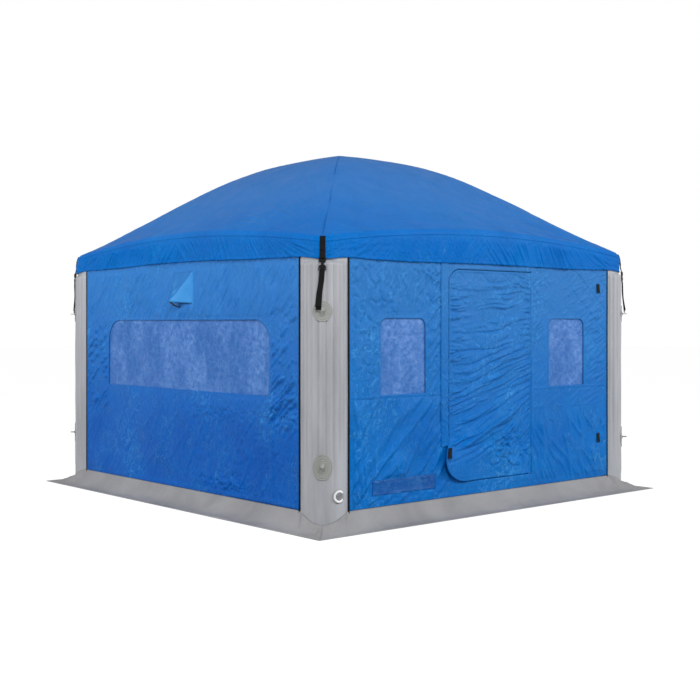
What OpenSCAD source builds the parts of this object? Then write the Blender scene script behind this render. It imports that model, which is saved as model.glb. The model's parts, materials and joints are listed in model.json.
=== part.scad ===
// Ice fishing hut: an inflatable frame of corner columns, eave beams and
// hip beams, with a fabric canopy, zipped wall panels and a snow skirt.
// Origin: centre of the plan on the ground. -Y is the front, +Z is up.

/* [Plan] */
// Distance between the outer faces of the left and right walls
span_x = 3660; // [3000:20:4400]
// Distance between the outer faces of the front and back walls
span_y = 3660; // [3000:20:4400]

/* [Inflatable frame] */
// Reach of a corner column along each wall
column_r = 245; // [200:5:290]
// Radius of the column's tube as a share of that reach; more is flatter
column_bulge = 0.714; // [0.71:0.002:0.8]
// Thickness of the column's top, where the hip beams stand
column_t = 115; // [90:5:140]
// Diameter of the inflated eave beams
eave_beam_d = 96; // [60:2:100]
// Diameter of the inflated hip beams
hip_beam_d = 104; // [70:2:110]
// Width across the flats of the crown hub
hub_w = 300; // [220:10:400]

/* [Canopy] */
// Height of the seam between roof and valance at the corners
seam_h = 2106; // [2100:1:2550]
// Height of the crown above that seam
roof_rise = 961; // [800:1:1200]
// How much higher that seam is at the middle of a side
seam_rise = 122; // [0:1:160]
// Radius of the fold from the roof into the valance
shoulder_r = 62; // [40:1:80]
// Radius of the canopy's corners in plan
canopy_corner_r = 130; // [80:1:200]
// How far the valance stands outside the walls
valance_gap = 10; // [8:1:25]
// Thickness of the canopy fabric
canopy_t = 4; // [2:0.5:6]
// Depth of the valance at the corners
valance_drop = 136; // [100:1:145]
// How much higher the front hem is at its middle
front_hem_rise = 28; // [0:1:60]
// How much higher the other hems are at their middle
side_hem_rise = 60; // [0:1:80]

/* [Walls] */
// Thickness of the quilted wall fabric
wall_t = 6; // [4:1:12]
// Height of the walls' lower edge
wall_base_h = 140; // [110:1:180]
// Width of the zip between a wall and a column
zip_w = 20; // [14:1:40]

/* [Door] */
// Height of the door's lower edge
door_base_h = 250; // [200:1:300]
// Height of the door's upper edge
door_top_h = 1945; // [1600:1:1950]
// Width of the door
door_w = 1000; // [800:1:1200]
// Position of the door's hinge line along the front wall
hinge_x = 502; // [450:1:640]
// Clearance round the door's free edges
door_gap = 6; // [5:1:12]
// Half the clearance between the door and the wall at the hinge line
hinge_gap = 7; // [6:1:12]
// Radius of the door's upper free corner
door_top_r = 120; // [60:1:180]
// Radius of the door's lower free corner
door_base_r = 200; // [100:1:320]

/* [Windows] */
// Thickness of the clear vinyl windows
window_t = 2; // [1:0.5:3]
// Height of the front windows' lower edge
small_window_base_h = 976; // [800:1:1100]
// Height of a front window
small_window_h = 578; // [400:1:700]
// Width of a front window
small_window_w = 480; // [300:1:580]
// Centre of the front window on the left
left_window_x = -1012; // [-1100:1:-900]
// Centre of the front window on the right
right_window_x = 987; // [900:1:1100]
// Radius of the front windows' upper corners
small_window_r = 60; // [13:1:120]
// Width of a long window
long_window_w = 2386; // [1600:2:2500]
// Centre of a long window, right of its wall's middle seen from outside
long_window_shift = 25; // [-60:1:60]
// Height of a long window's lower edge
long_window_base_h = 963; // [800:1:1100]
// Height of a long window
long_window_h = 580; // [400:1:700]
// Radius of a long window's upper corners
long_window_r = 180; // [60:1:200]

/* [Vents] */
// Width of a vent
vent_w = 250; // [150:1:280]
// Height of a vent
vent_h = 250; // [150:1:260]
// Height of a vent's lower edge
vent_base_h = 1690; // [1650:1:1700]
// Centre of a vent, right of its wall's middle seen from outside
vent_shift = 55; // [-200:1:300]
// Overlap of a vent's flap round the vent
vent_flap_lap = 6; // [2:1:12]
// How far a vent's flap is propped out at its free corner
vent_flap_lift = 75; // [20:1:150]

/* [Skirt] */
// How far the skirt reaches beyond the walls
skirt_reach = 190; // [150:1:300]
// Height of the skirt's upper edge at the corners
skirt_corner_h = 60; // [40:1:100]
// Thickness of the skirt
skirt_t = 4; // [3:0.5:8]

/* [Corner hardware] */
// Width of the webbing straps
strap_w = 42; // [25:1:60]
// Thickness of the webbing straps
strap_t = 3; // [2:0.5:5]
// How far a strap's buckle hangs below the hem
buckle_drop = 7; // [2:1:60]
// Height of a strap buckle
buckle_h = 68; // [50:1:80]
// Height of the upper D-rings
upper_ring_h = 1605; // [1450:1:1700]
// Height of the lower D-rings
lower_ring_h = 475; // [350:1:600]
// Width of the anchor patches
patch_w = 150; // [100:1:200]
// Height of the lower, oval anchor patches
patch_oval_h = 190; // [150:1:240]
// Thickness of the anchor patches
patch_t = 3; // [2:0.5:5]
// Outer diameter of a D-ring
ring_d = 46; // [36:1:60]
// Thickness of a D-ring's wire
ring_wire = 6; // [4:0.5:8]
// Outer diameter of the inflation valve
valve_d = 104; // [80:1:130]
// Height of the inflation valve's centre
valve_h = 262; // [240:1:320]
// Angle of the inflation valve from the front wall round the column
valve_angle = 4; // [-5:1:30]
// Width of the black pull tabs
tab_w = 44; // [20:1:60]
// Height of the black pull tabs
tab_h = 80; // [50:1:100]

/* [Hidden] */

$fn = 96;
canopy_blue = [0.10, 0.40, 0.72];
wall_blue = [0.13, 0.42, 0.74];
vinyl_grey = [0.64, 0.65, 0.67];
skirt_grey = [0.56, 0.56, 0.57];
webbing_black = [0.05, 0.05, 0.05];

half_x = span_x / 2;
half_y = span_y / 2;
eps = 0.01;

// Each side: turn from the front, half its own length, half its distance
FRONT = [0, half_x, half_y];
BACK = [180, half_x, half_y];
LEFT = [-90, half_y, half_x];
RIGHT = [90, half_y, half_x];
SIDES = [FRONT, BACK, LEFT, RIGHT];
CORNERS = [[0, 0], [1, 0], [0, 1], [1, 1]];

// Heights that follow from the canopy
peak_h = seam_h + roof_rise;
hem_h = seam_h - valance_drop;
column_h = seam_h - 121;          // the columns end under the fold of the roof
tube_h = hem_h - 6;               // and draw in above the hem
wall_top_h = seam_h - 76;         // of a wall's top edge at its ends
strap_top_h = seam_h - 10;
buckle_base_h = hem_h - buckle_drop - buckle_h;

// Column tubes: their axis lies this far out on the diagonal from the corner of
// the flats that the walls and beams end at
tube_r = column_r * column_bulge;
tube_out = column_r * (cos(45) - sqrt(pow(column_bulge, 2) - 0.5));

// Walls
wall_end = column_r + zip_w;      // from the virtual corner to a wall's end
wall_rise = max(seam_rise, 10) * 0.8;   // of a wall's top edge at its middle
wall_step = 150;                  // longest straight stretch of that edge
wall_gap = 2;                     // between the eave beams and the walls
skirt_gap = 1;                    // between the skirt and what it surrounds

// Canopy: the roof runs to the fold, then round it to the seam
fold_angle = 28;                  // slope at which the fold begins
fold_steps = 5;
roof_steps = 9;
side_steps = 14;                  // along the straight of a side
arc_steps = 5;                    // along half a corner's arc
tube_steps = 10;                  // round half a column, for the skirt
canopy_half_x = half_x + valance_gap;
canopy_half_y = half_y + valance_gap;
canopy_min = min(canopy_half_x, canopy_half_y);
fold_reach = 1 - shoulder_r * (1 - sin(fold_angle)) / canopy_min;
fold_h = shoulder_r * cos(fold_angle);
crown_flat = 0.404;               // handles of the roof's curve, as shares of its reach
eave_handle = 0.645;
hip_fall = 0.566;                 // slope of the hips at the fold
mid_fall = 0.44;                  // slope of the roof at the middle of a side

// Hip beams
beam_under_roof = 12;             // between a hip and the top of its beam
beam_sides = 16;
hub_h = 120;
hub_gap = 3;                      // between the hub and the roof

// ---------- shared geometry ----------

function mix(a, b, k) = a + (b - a) * k;
function cubic(p, k) = p[0] * pow(1 - k, 3) + 3 * p[1] * pow(1 - k, 2) * k
    + 3 * p[2] * (1 - k) * k * k + p[3] * pow(k, 3);

// Point k (-1 to 1) along one side of a rounded rectangle, seen from its
// front: from the middle of one corner's arc to the middle of the next
function side_path(half_long, half_deep, r, k) =
    let (straight = half_long - r,
         run = abs(k) * (straight + r * PI / 4),
         turn = max(0, run - straight) / r * 180 / PI,
         along = min(run, straight) + r * sin(turn))
    [sign(k) * along, -(half_deep - r + r * cos(turn))];

// The canopy shrinks towards its crown in proportion
function canopy_path(side, scale, k) =
    side_path(side[1] + valance_gap, side[2] + valance_gap, canopy_corner_r, k) * scale;

function seam_z(k) = seam_h + seam_rise * (1 - k * k);

// Scale and height of the roof at step j of its rows
function roof_scale(j) =
    j <= roof_steps
        ? cubic([0, crown_flat, eave_handle, fold_reach], j / roof_steps)
        : 1 - shoulder_r * (1 - sin(fold_turn(j))) / canopy_min;
function fold_turn(j) = mix(fold_angle, 90, (j - roof_steps) / fold_steps);
function roof_z(j, k) =
    let (edge = seam_z(k) + fold_h,
         fall = mix(mid_fall, hip_fall, k * k),
         handle = edge + fall * (fold_reach - eave_handle) * canopy_min)
    j <= roof_steps
        ? cubic([peak_h, peak_h, handle, edge], j / roof_steps)
        : seam_z(k) + shoulder_r * cos(fold_turn(j));
function crown_fall(reach) =      // fall of the hips at a reach near the crown
    let (j = [for (j = [0 : 0.05 : 3]) if (roof_scale(j) * canopy_min >= reach) j][0])
    peak_h - roof_z(j, 1);
function roof_lean(j) = j <= roof_steps ? fold_angle * j / roof_steps : fold_turn(j);

function roof_point(side, j, k, depth) =
    let (p = canopy_path(side, roof_scale(j) - depth * sin(roof_lean(j)) / canopy_min, k))
    [p[0], p[1], roof_z(j, k) - depth * cos(roof_lean(j))];

// Share of half a side's path that is straight, and points spread along
// the whole path so that the arcs stay round
function straight_share(half_long, r) = (half_long - r) / (half_long - r + r * PI / 4);
function path_range(half_long, r) =
    let (share = straight_share(half_long, r))
    concat([for (i = [0 : arc_steps - 1]) mix(-1, -share, i / arc_steps)],
           [for (i = [0 : side_steps]) mix(-share, share, i / side_steps)],
           [for (i = [1 : arc_steps]) mix(share, 1, i / arc_steps)]);
function canopy_range(side) = path_range(side[1] + valance_gap, canopy_corner_r);

// Closed thin solid between two grids of points, each a list of rows.
// With a tip, the first rows close to one point on each face
module thin_shell(outer, inner, tip = undef) {
    rows = len(outer);
    cols = len(outer[0]);
    size = rows * cols;
    tips = is_undef(tip) ? [] : tip;
    points = concat([for (row = outer) each row], [for (row = inner) each row], tips);
    skins = [for (i = [0 : rows - 2], j = [0 : cols - 2])
        let (a = i * cols + j, b = a + 1, c = a + cols, d = c + 1)
        each [[a, b, d], [a, d, c], [size + a, size + d, size + b], [size + a, size + c, size + d]]];
    ends = [for (i = [0 : rows - 2])
        let (a = i * cols, b = a + cols, c = a + cols - 1, d = c + cols)
        each [[a, b, size + b], [a, size + b, size + a], [c, size + d, d], [c, size + c, size + d]]];
    last = [for (j = [0 : cols - 2])
        let (a = (rows - 1) * cols + j, b = a + 1)
        each [[a, b, size + b], [a, size + b, size + a]]];
    first = is_undef(tip)
        ? [for (j = [0 : cols - 2]) each [[j, size + j + 1, j + 1], [j, size + j, size + j + 1]]]
        : concat(
            [for (j = [0 : cols - 2]) each [[2 * size, j + 1, j], [2 * size + 1, size + j, size + j + 1]]],
            [[2 * size, 0, size], [2 * size, size, 2 * size + 1],
             [2 * size, size + cols - 1, cols - 1], [2 * size, 2 * size + 1, size + cols - 1]]);
    polyhedron(points, concat(skins, ends, last, first), convexity = 6);
}

module on_side(side) {
    rotate([0, 0, side[0]]) children();
}

// Builds its children at the front left corner, mirrored to each corner.
// Children are drawn round the corner of the column's flats, their outside
// towards -X -Y
module at_corner(corner) {
    mirror([corner[0], 0, 0])
        mirror([0, corner[1], 0])
            translate([column_r - half_x, column_r - half_y, 0])
                children();
}

// Opening with square lower corners and round upper ones
module arched_slab(width, height, r, thick) {
    rotate([90, 0, 0])
        translate([0, 0, -thick])
            linear_extrude(thick)
                union() {
                    translate([-width / 2, 0]) square([width, height - r]);
                    translate([r - width / 2, 0]) square([width - 2 * r, height]);
                    for (x = [-1, 1])
                        translate([x * (width / 2 - r), height - r]) circle(r);
                }
}

// ---------- inflated frame ----------

// A round tube that bulges past the walls, flat where walls and beams end.
// Its top is a narrower quarter ring under the canopy
module column(corner) {
    color(vinyl_grey)
        at_corner(corner)
            intersection() {
                union() {
                    translate([-tube_out * cos(45), -tube_out * sin(45), 0])
                        cylinder(r = tube_r, h = tube_h);
                    difference() {
                        cylinder(r = column_r - 4, h = column_h);
                        translate([0, 0, -1]) cylinder(r = column_r - column_t, h = column_h + 2);
                    }
                }
                translate([-2 * column_r, -2 * column_r, 0])
                    cube([2 * column_r, 2 * column_r, column_h]);
            }
}

function arch_radius(half_chord, rise) =
    (half_chord * half_chord + rise * rise) / (2 * rise);

eave_beam_base_h = column_h - eave_beam_d - 10;   // lowest point, at a column
eave_steps = 12;

// Closed tube along a line of [distance, height] points, upright in the X-Z
// plane. slopes holds the direction of each of its points
module swept_tube(line, slopes, d) {
    count = len(line);
    rings = [for (i = [0 : count - 1], n = [0 : beam_sides - 1])
        let (turn = 360 * n / beam_sides, up = d / 2 * cos(turn))
        [line[i][0] - slopes[i][1] * up, d / 2 * sin(turn), line[i][1] + slopes[i][0] * up]];
    skin = [for (i = [0 : count - 2], n = [0 : beam_sides - 1])
        let (m = (n + 1) % beam_sides, a = i * beam_sides, b = a + beam_sides)
        each [[a + n, b + m, b + n], [a + n, a + m, b + m]]];
    caps = [[for (n = [beam_sides - 1 : -1 : 0]) n],
            [for (n = [0 : beam_sides - 1]) (count - 1) * beam_sides + n]];
    polyhedron(rings, concat(skin, caps), convexity = 4);
}

// The eave beams arch between the columns; their ends are upright
module eave_beam(side) {
    half = side[1] - column_r;
    rise = max(seam_rise, 10);
    r = arch_radius(half, rise);
    centre_h = eave_beam_base_h + eave_beam_d / 2 + rise - r;
    turns = [for (i = [0 : eave_steps]) asin(half / r) * (2 * i / eave_steps - 1)];
    line = [for (turn = turns) [r * sin(turn), centre_h + r * cos(turn)]];
    slopes = [for (i = [0 : eave_steps])
        i == 0 || i == eave_steps ? [1, 0] : [cos(turns[i]), -sin(turns[i])]];
    color(vinyl_grey)
        on_side(side)
            translate([0, -side[2] + wall_t + wall_gap + eave_beam_d / 2, 0])
                swept_tube(line, slopes, eave_beam_d);
}

// Centre line of a hip beam, as distance from the middle and height
hip_x = half_x - column_r + (column_r - column_t / 2) * cos(45);
hip_y = half_y - column_r + (column_r - column_t / 2) * sin(45);
hip_run = norm([hip_x, hip_y]);
hip_turn = atan2(hip_y, hip_x);
corner_run = norm(canopy_path(FRONT, 1, 1));
function roof_under_hip(j) =
    [corner_run * roof_scale(j), roof_z(j, 1)]
        - (canopy_t + beam_under_roof + hip_beam_d / 2) * [sin(roof_lean(j)), cos(roof_lean(j))];
hip_start = roof_under_hip(roof_steps - 1);
hip_bend = 70;                    // handle length of the bend onto the column
hip_line = concat(
    [[hub_w / 2, roof_z(0, 1) - canopy_t - beam_under_roof - hip_beam_d / 2 - 6]],
    [for (j = [2 : roof_steps - 1]) roof_under_hip(j)],
    [for (k = [0.25 : 0.25 : 1])
        [cubic([hip_start[0], hip_start[0] + hip_bend, hip_run, hip_run], k),
         cubic([hip_start[1], hip_start[1] - hip_bend * hip_fall, column_h + hip_bend, column_h], k)]]);

// A hip beam's end lies flat on the hub, and the other on its column
hip_slopes = [for (i = [0 : len(hip_line) - 1])
    i == 0 ? [1, 0]
    : i == len(hip_line) - 1 ? [0, -1]
    : (hip_line[i + 1] - hip_line[i - 1]) / norm(hip_line[i + 1] - hip_line[i - 1])];

module hip_beam(corner) {
    color(vinyl_grey)
        mirror([1 - corner[0], 0, 0])
            mirror([0, 1 - corner[1], 0])
                rotate([0, 0, hip_turn])
                    swept_tube(hip_line, hip_slopes, hip_beam_d);
}

// The hub is flat where the hip beams meet it, and round between them
module crown_hub() {
    round_r = hub_w * 0.65;
    color(vinyl_grey)
        translate([0, 0, peak_h - crown_fall(round_r) - canopy_t - hub_gap - hub_h])
            intersection_for (side = [-1, 1])
                intersection() {
                    cylinder(r = round_r, h = hub_h);
                    rotate([0, 0, side * hip_turn])
                        translate([-hub_w / 2, -hub_w, 0])
                            cube([hub_w, 2 * hub_w, hub_h]);
                }
}

// ---------- canopy ----------

module roof(side) {
    steps = [1 : roof_steps + fold_steps];
    outer = [for (j = steps) [for (k = canopy_range(side)) roof_point(side, j, k, 0)]];
    inner = [for (j = steps) [for (k = canopy_range(side)) roof_point(side, j, k, canopy_t)]];
    color(canopy_blue)
        on_side(side)
            thin_shell(outer, inner, tip = [[0, 0, peak_h], [0, 0, peak_h - canopy_t]]);
}

module valance(side, hem_rise) {
    drop = [0, 0.5, 1];
    function point(k, share, depth) =
        let (p = canopy_path(side, 1 - depth / canopy_min, k))
        [p[0], p[1], mix(seam_z(k), hem_h + hem_rise * (1 - k * k), share)];
    color(canopy_blue)
        on_side(side)
            thin_shell([for (share = drop) [for (k = canopy_range(side)) point(k, share, 0)]],
                       [for (share = drop) [for (k = canopy_range(side)) point(k, share, canopy_t)]]);
}

// ---------- walls ----------

// Height of a wall's arched top edge at a distance from its middle
function wall_top(side, x) =
    let (half = side[1] - wall_end,
         r = arch_radius(half, wall_rise))
    wall_top_h + wall_rise - r + sqrt(r * r - x * x);

// Blank of a wall from x0 to x1 along its side
module wall_blank(side, x0, x1, z0 = wall_base_h) {
    steps = ceil((x1 - x0) / wall_step);
    top = [for (i = [0 : steps]) let (x = mix(x1, x0, i / steps)) [x, wall_top(side, x)]];
    rotate([90, 0, 0])
        translate([0, 0, -wall_t])
            linear_extrude(wall_t)
                polygon(concat([[x0, z0], [x1, z0]], top));
}

// Moves its children from the front of a side's plane onto that side
module on_wall(side) {
    on_side(side) translate([0, -side[2], 0]) children();
}

module small_window_shape(x, thick, lift = 0) {
    translate([x, lift, small_window_base_h])
        arched_slab(small_window_w, small_window_h, small_window_r, thick);
}

module long_window_shape(thick, lift = 0) {
    translate([long_window_shift, lift, long_window_base_h])
        arched_slab(long_window_w, long_window_h, long_window_r, thick);
}

module vent_shape(thick, lift = 0) {
    translate([vent_shift - vent_w / 2, lift, vent_base_h])
        cube([vent_w, thick, vent_h]);
}

door_right_x = hinge_x - hinge_gap;
door_left_x = door_right_x - door_w;
opening_left_x = door_left_x - door_gap;
opening_right_x = hinge_x + hinge_gap;

// The door's outline grown by a clearance: round on its free side
module door_outline(grow, thick) {
    left = door_left_x - grow;
    right = door_right_x;
    base = door_base_h - grow;
    top = door_top_h + grow;
    top_r = door_top_r + grow;
    base_r = door_base_r + grow;
    rotate([90, 0, 0])
        translate([0, 0, -thick])
            linear_extrude(thick)
                union() {
                    translate([left + max(top_r, base_r), base])
                        square([right - left - max(top_r, base_r), top - base]);
                    translate([left, base + base_r])
                        square([max(top_r, base_r) + eps, top - base - base_r - top_r]);
                    translate([left + top_r, top - top_r - eps])
                        square([max(top_r, base_r) - top_r + eps, top_r + eps]);
                    translate([left + top_r, top - top_r]) circle(top_r);
                    translate([left + base_r, base + base_r]) circle(base_r);
                }
}

module front_wall_left() {
    color(wall_blue)
        on_wall(FRONT)
            difference() {
                wall_blank(FRONT, wall_end - half_x, opening_left_x);
                small_window_shape(left_window_x, wall_t + 2, -1);
            }
}

module front_wall_right() {
    color(wall_blue)
        on_wall(FRONT)
            difference() {
                wall_blank(FRONT, opening_right_x, half_x - wall_end);
                small_window_shape(right_window_x, wall_t + 2, -1);
            }
}

module door_opening() {
    translate([0, -1, 0]) {
        door_outline(door_gap, wall_t + 2);
        translate([door_right_x - 1, 0, door_base_h - door_gap])
            cube([2 * hinge_gap + 2, wall_t + 2, door_top_h - door_base_h + 2 * door_gap]);
    }
}

module door_header() {
    color(wall_blue)
        on_wall(FRONT)
            difference() {
                wall_blank(FRONT, opening_left_x, opening_right_x, door_top_h - door_top_r);
                door_opening();
            }
}

module door_threshold() {
    color(wall_blue)
        on_wall(FRONT)
            difference() {
                translate([opening_left_x, 0, wall_base_h])
                    cube([opening_right_x - opening_left_x, wall_t, door_base_h + door_base_r - wall_base_h]);
                door_opening();
            }
}

module full_wall(side) {
    color(wall_blue)
        on_wall(side)
            difference() {
                wall_blank(side, wall_end - side[1], side[1] - wall_end);
                long_window_shape(wall_t + 2, -1);
                vent_shape(wall_t + 2, -1);
            }
}

module front_windows() {
    inset = (wall_t - window_t) / 2;
    color([0.45, 0.50, 0.76, 0.6])
        on_wall(FRONT) {
            small_window_shape(left_window_x, window_t, inset);
            small_window_shape(right_window_x, window_t, inset);
        }
}

module long_windows() {
    color([0.45, 0.50, 0.76, 0.6])
        for (side = [BACK, LEFT, RIGHT])
            on_wall(side) long_window_shape(window_t, (wall_t - window_t) / 2);
}

module vent_screens() {
    color(webbing_black)
        for (side = [BACK, LEFT, RIGHT])
            on_wall(side) vent_shape(window_t, (wall_t - window_t) / 2);
}

// A vent's flap is sewn along its top and its right edge. Its free corner is
// propped away from the wall, which folds it across its diagonal
module vent_flaps() {
    flap_t = 3;
    clear = 1;
    left = vent_shift - vent_w / 2 - vent_flap_lap;
    right = vent_shift + vent_w / 2 + vent_flap_lap;
    base = vent_base_h - vent_flap_lap;
    top = vent_base_h + vent_h + vent_flap_lap;
    pulled = vent_flap_lift * 0.35;   // shift of the propped corner across the wall
    function sheet(y) =
        [[[right, y, top], [right, y, base]],
         [[left, y, top], [left + pulled, y - vent_flap_lift, base + pulled / 2]]];
    color(wall_blue)
        for (side = [BACK, LEFT, RIGHT])
            on_wall(side) thin_shell(sheet(-clear - flap_t), sheet(-clear));
}

// A zip closes each gap between a wall and a column
module wall_zips() {
    color(webbing_black)
        for (side = SIDES)
            on_wall(side)
                for (end = [-1, 1])
                    translate([end * (side[1] - column_r - zip_w / 2) - zip_w / 2, 0, wall_base_h])
                        cube([zip_w, wall_t, wall_top_h - wall_base_h]);
}

tab_t = 3;
tab_inset = 128;                  // from a wall's end to its tabs
tab_base_h = 452;                 // of the lower tabs
tab_under_door_top = 155;         // of the upper tab

module pull_tab(x, z) {
    translate([x - tab_w / 2, -tab_t, z]) cube([tab_w, tab_t, tab_h]);
}

module wall_tabs() {
    color(webbing_black)
        on_wall(FRONT)
            for (z = [tab_base_h, door_top_h - tab_under_door_top])
                pull_tab(half_x - wall_end - tab_inset, z);
}

module door_tab() {
    color(webbing_black)
        on_wall(FRONT)
            pull_tab(door_left_x + tab_w, tab_base_h);
}

module door_panel() {
    color(wall_blue)
        on_wall(FRONT) door_outline(0, wall_t);
}

// ---------- snow skirt ----------

// The skirt leaves the foot of the walls and columns, and sweeps out to a
// square edge on the ground
module skirt(side) {
    sweep = [0, 0.08, 0.16, 0.25, 0.35, 0.46, 0.6, 0.78, 1];
    r = tube_r + skirt_gap;
    deep = side[2] + skirt_gap;
    middle = [side[1] - column_r + tube_out * cos(45), column_r - side[2] - tube_out * sin(45)];
    first = -acos((deep + middle[1]) / r);       // turn at which the tube leaves the wall
    straight = middle[0] + r * sin(first);
    arc = (45 - first) * PI / 180 * r;
    flat_share = straight / (straight + arc);
    range = [for (i = [-side_steps / 2 - tube_steps : side_steps / 2 + tube_steps])
        let (past = max(0, abs(i) - side_steps / 2))
        sign(i) * (past > 0 ? mix(flat_share, 1, past / tube_steps)
                            : abs(i) / (side_steps / 2) * flat_share)];
    function edge(k) =
        let (turn = mix(first, 45, (abs(k) - flat_share) / (1 - flat_share)))
        abs(k) <= flat_share
            ? [k / flat_share * straight, -deep]
            : [sign(k) * (middle[0] + r * sin(turn)), middle[1] - r * cos(turn)];
    function foot(k) = [edge(k)[0] * (side[1] + skirt_reach) / edge(1)[0], -(side[2] + skirt_reach)];
    function edge_h(k) =
        let (past = max(0, abs(k) - flat_share) / (1 - flat_share))
        mix(wall_base_h, skirt_corner_h, past * past * (3 - 2 * past));
    function point(k, share, lift) =
        let (p = mix(edge(k), foot(k), share))
        [p[0], p[1], lift + (edge_h(k) - skirt_t) * pow(1 - share, 3)];
    color(skirt_grey)
        on_side(side)
            thin_shell([for (share = sweep) [for (k = range) point(k, share, skirt_t)]],
                       [for (share = sweep) [for (k = range) point(k, share, 0)]]);
}

// ---------- corner hardware ----------

ring_stand_off = 4;               // between a patch and its D-ring

// Turns its children so that +X points out of the column on the diagonal
module out_of_corner(corner) {
    at_corner(corner) rotate([0, 0, 225]) children();
}

module patch(z, height) {
    translate([tube_out, 0, 0])
        intersection() {
            difference() {
                cylinder(r = tube_r + patch_t, h = column_h);
                translate([0, 0, -1]) cylinder(r = tube_r, h = column_h + 2);
            }
            translate([0, 0, z])
                rotate([0, 90, 0])
                    linear_extrude(tube_r + 2 * patch_t)
                        union() {
                            square([height - patch_w + eps, patch_w], center = true);
                            for (end = [-1, 1])
                                translate([end * (height - patch_w) / 2, 0]) circle(d = patch_w);
                        }
        }
}

module anchor_patches() {
    color(vinyl_grey)
        for (corner = CORNERS)
            out_of_corner(corner) {
                patch(upper_ring_h, patch_w + 1);
                patch(lower_ring_h, patch_oval_h);
            }
}

// A D-ring stands level out of its patch
module d_rings() {
    color(webbing_black)
        for (corner = CORNERS)
            out_of_corner(corner)
                for (z = [upper_ring_h, lower_ring_h])
                    translate([tube_out + tube_r + patch_t + ring_stand_off + ring_d / 2, 0, z])
                        rotate_extrude()
                            translate([(ring_d - ring_wire) / 2, 0])
                                circle(d = ring_wire, $fn = 24);
}

// Straps lean from the valance's corner out to their buckles, then hang clear
// of the patches down to the rings
strap_top = norm(canopy_path(FRONT, 1, 1) - [half_x - column_r, column_r - half_y]) + 1;
strap_out = max(strap_top, tube_out + tube_r + patch_t + 1);
buckle_t = 14;
buckle_w = strap_w + 10;

module corner_straps() {
    end_h = upper_ring_h + ring_wire / 2 + 2;       // over the ring
    color(webbing_black)
        for (corner = CORNERS)
            out_of_corner(corner) {
                translate([strap_out, -strap_w / 2, end_h])
                    cube([strap_t, strap_w, buckle_base_h - end_h]);
                rotate([90, 0, 0])
                    linear_extrude(strap_w, center = true)
                        polygon([[strap_out, buckle_base_h + buckle_h],
                                 [strap_out + strap_t, buckle_base_h + buckle_h],
                                 [strap_top + strap_t, strap_top_h], [strap_top, strap_top_h]]);
            }
}

module strap_buckles() {
    color(webbing_black)
        for (corner = CORNERS)
            out_of_corner(corner)
                translate([strap_out, -buckle_w / 2, buckle_base_h])
                    cube([buckle_t, buckle_w, buckle_h]);
}

// The valve sits square on its column, near the front wall's zip
module inflation_valve() {
    valve_depth = 12;
    color(vinyl_grey)
        at_corner(CORNERS[0])
            translate([-tube_out * cos(45), -tube_out * sin(45), valve_h])
                rotate([0, 0, 270 - valve_angle])
                    difference() {
                        rotate([0, 90, 0]) cylinder(d = valve_d, h = tube_r + valve_depth);
                        translate([0, 0, -valve_d]) cylinder(r = tube_r, h = 2 * valve_d);
                    }
}

// ---------- the nodes ----------

column(CORNERS[0]);  // front_left_column
column(CORNERS[1]);  // front_right_column
column(CORNERS[2]);  // back_left_column
column(CORNERS[3]);  // back_right_column
hip_beam(CORNERS[0]);  // front_left_hip_beam
hip_beam(CORNERS[1]);  // front_right_hip_beam
hip_beam(CORNERS[2]);  // back_left_hip_beam
hip_beam(CORNERS[3]);  // back_right_hip_beam
crown_hub();
eave_beam(FRONT);  // front_eave_beam
eave_beam(BACK);  // back_eave_beam
eave_beam(LEFT);  // left_eave_beam
eave_beam(RIGHT);  // right_eave_beam
roof(FRONT);  // front_roof
roof(BACK);  // back_roof
roof(LEFT);  // left_roof
roof(RIGHT);  // right_roof
valance(FRONT, front_hem_rise);  // front_valance
valance(BACK, side_hem_rise);  // back_valance
valance(LEFT, side_hem_rise);  // left_valance
valance(RIGHT, side_hem_rise);  // right_valance
front_wall_left();
front_wall_right();
door_header();
door_threshold();
full_wall(LEFT);  // left_wall
full_wall(RIGHT);  // right_wall
full_wall(BACK);  // back_wall
front_windows();
long_windows();
vent_flaps();
vent_screens();
wall_zips();
wall_tabs();
door_panel();
door_tab();
skirt(FRONT);  // front_skirt
skirt(BACK);  // back_skirt
skirt(LEFT);  // left_skirt
skirt(RIGHT);  // right_skirt
anchor_patches();
d_rings();
corner_straps();
strap_buckles();
inflation_valve();
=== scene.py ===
"""Looks of the ice fishing hut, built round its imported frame. Metres, +Z up, the front towards -Y."""
import json
import math

import bmesh
import bpy
import numpy as np
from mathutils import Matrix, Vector
from mathutils.geometry import delaunay_2d_cdt
from mathutils.kdtree import KDTree

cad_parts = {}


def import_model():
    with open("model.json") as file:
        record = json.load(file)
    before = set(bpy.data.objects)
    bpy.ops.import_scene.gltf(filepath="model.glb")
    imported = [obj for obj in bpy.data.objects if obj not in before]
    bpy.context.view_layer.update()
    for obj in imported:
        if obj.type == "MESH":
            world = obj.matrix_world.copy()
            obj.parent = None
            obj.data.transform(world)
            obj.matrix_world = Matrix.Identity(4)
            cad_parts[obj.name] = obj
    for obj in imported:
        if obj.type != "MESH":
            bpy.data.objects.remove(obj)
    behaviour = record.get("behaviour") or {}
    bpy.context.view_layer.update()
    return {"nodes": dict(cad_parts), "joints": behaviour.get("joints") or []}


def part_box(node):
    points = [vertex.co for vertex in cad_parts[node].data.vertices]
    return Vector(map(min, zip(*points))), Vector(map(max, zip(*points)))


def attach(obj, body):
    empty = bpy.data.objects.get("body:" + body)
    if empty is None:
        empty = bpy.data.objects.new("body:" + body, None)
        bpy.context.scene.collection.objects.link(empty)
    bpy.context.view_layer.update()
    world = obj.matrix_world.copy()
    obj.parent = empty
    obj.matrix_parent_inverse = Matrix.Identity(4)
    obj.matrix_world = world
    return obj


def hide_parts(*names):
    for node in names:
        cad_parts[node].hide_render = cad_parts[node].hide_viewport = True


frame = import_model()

SHELTER = "shelter"
DOOR = "door"

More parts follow.
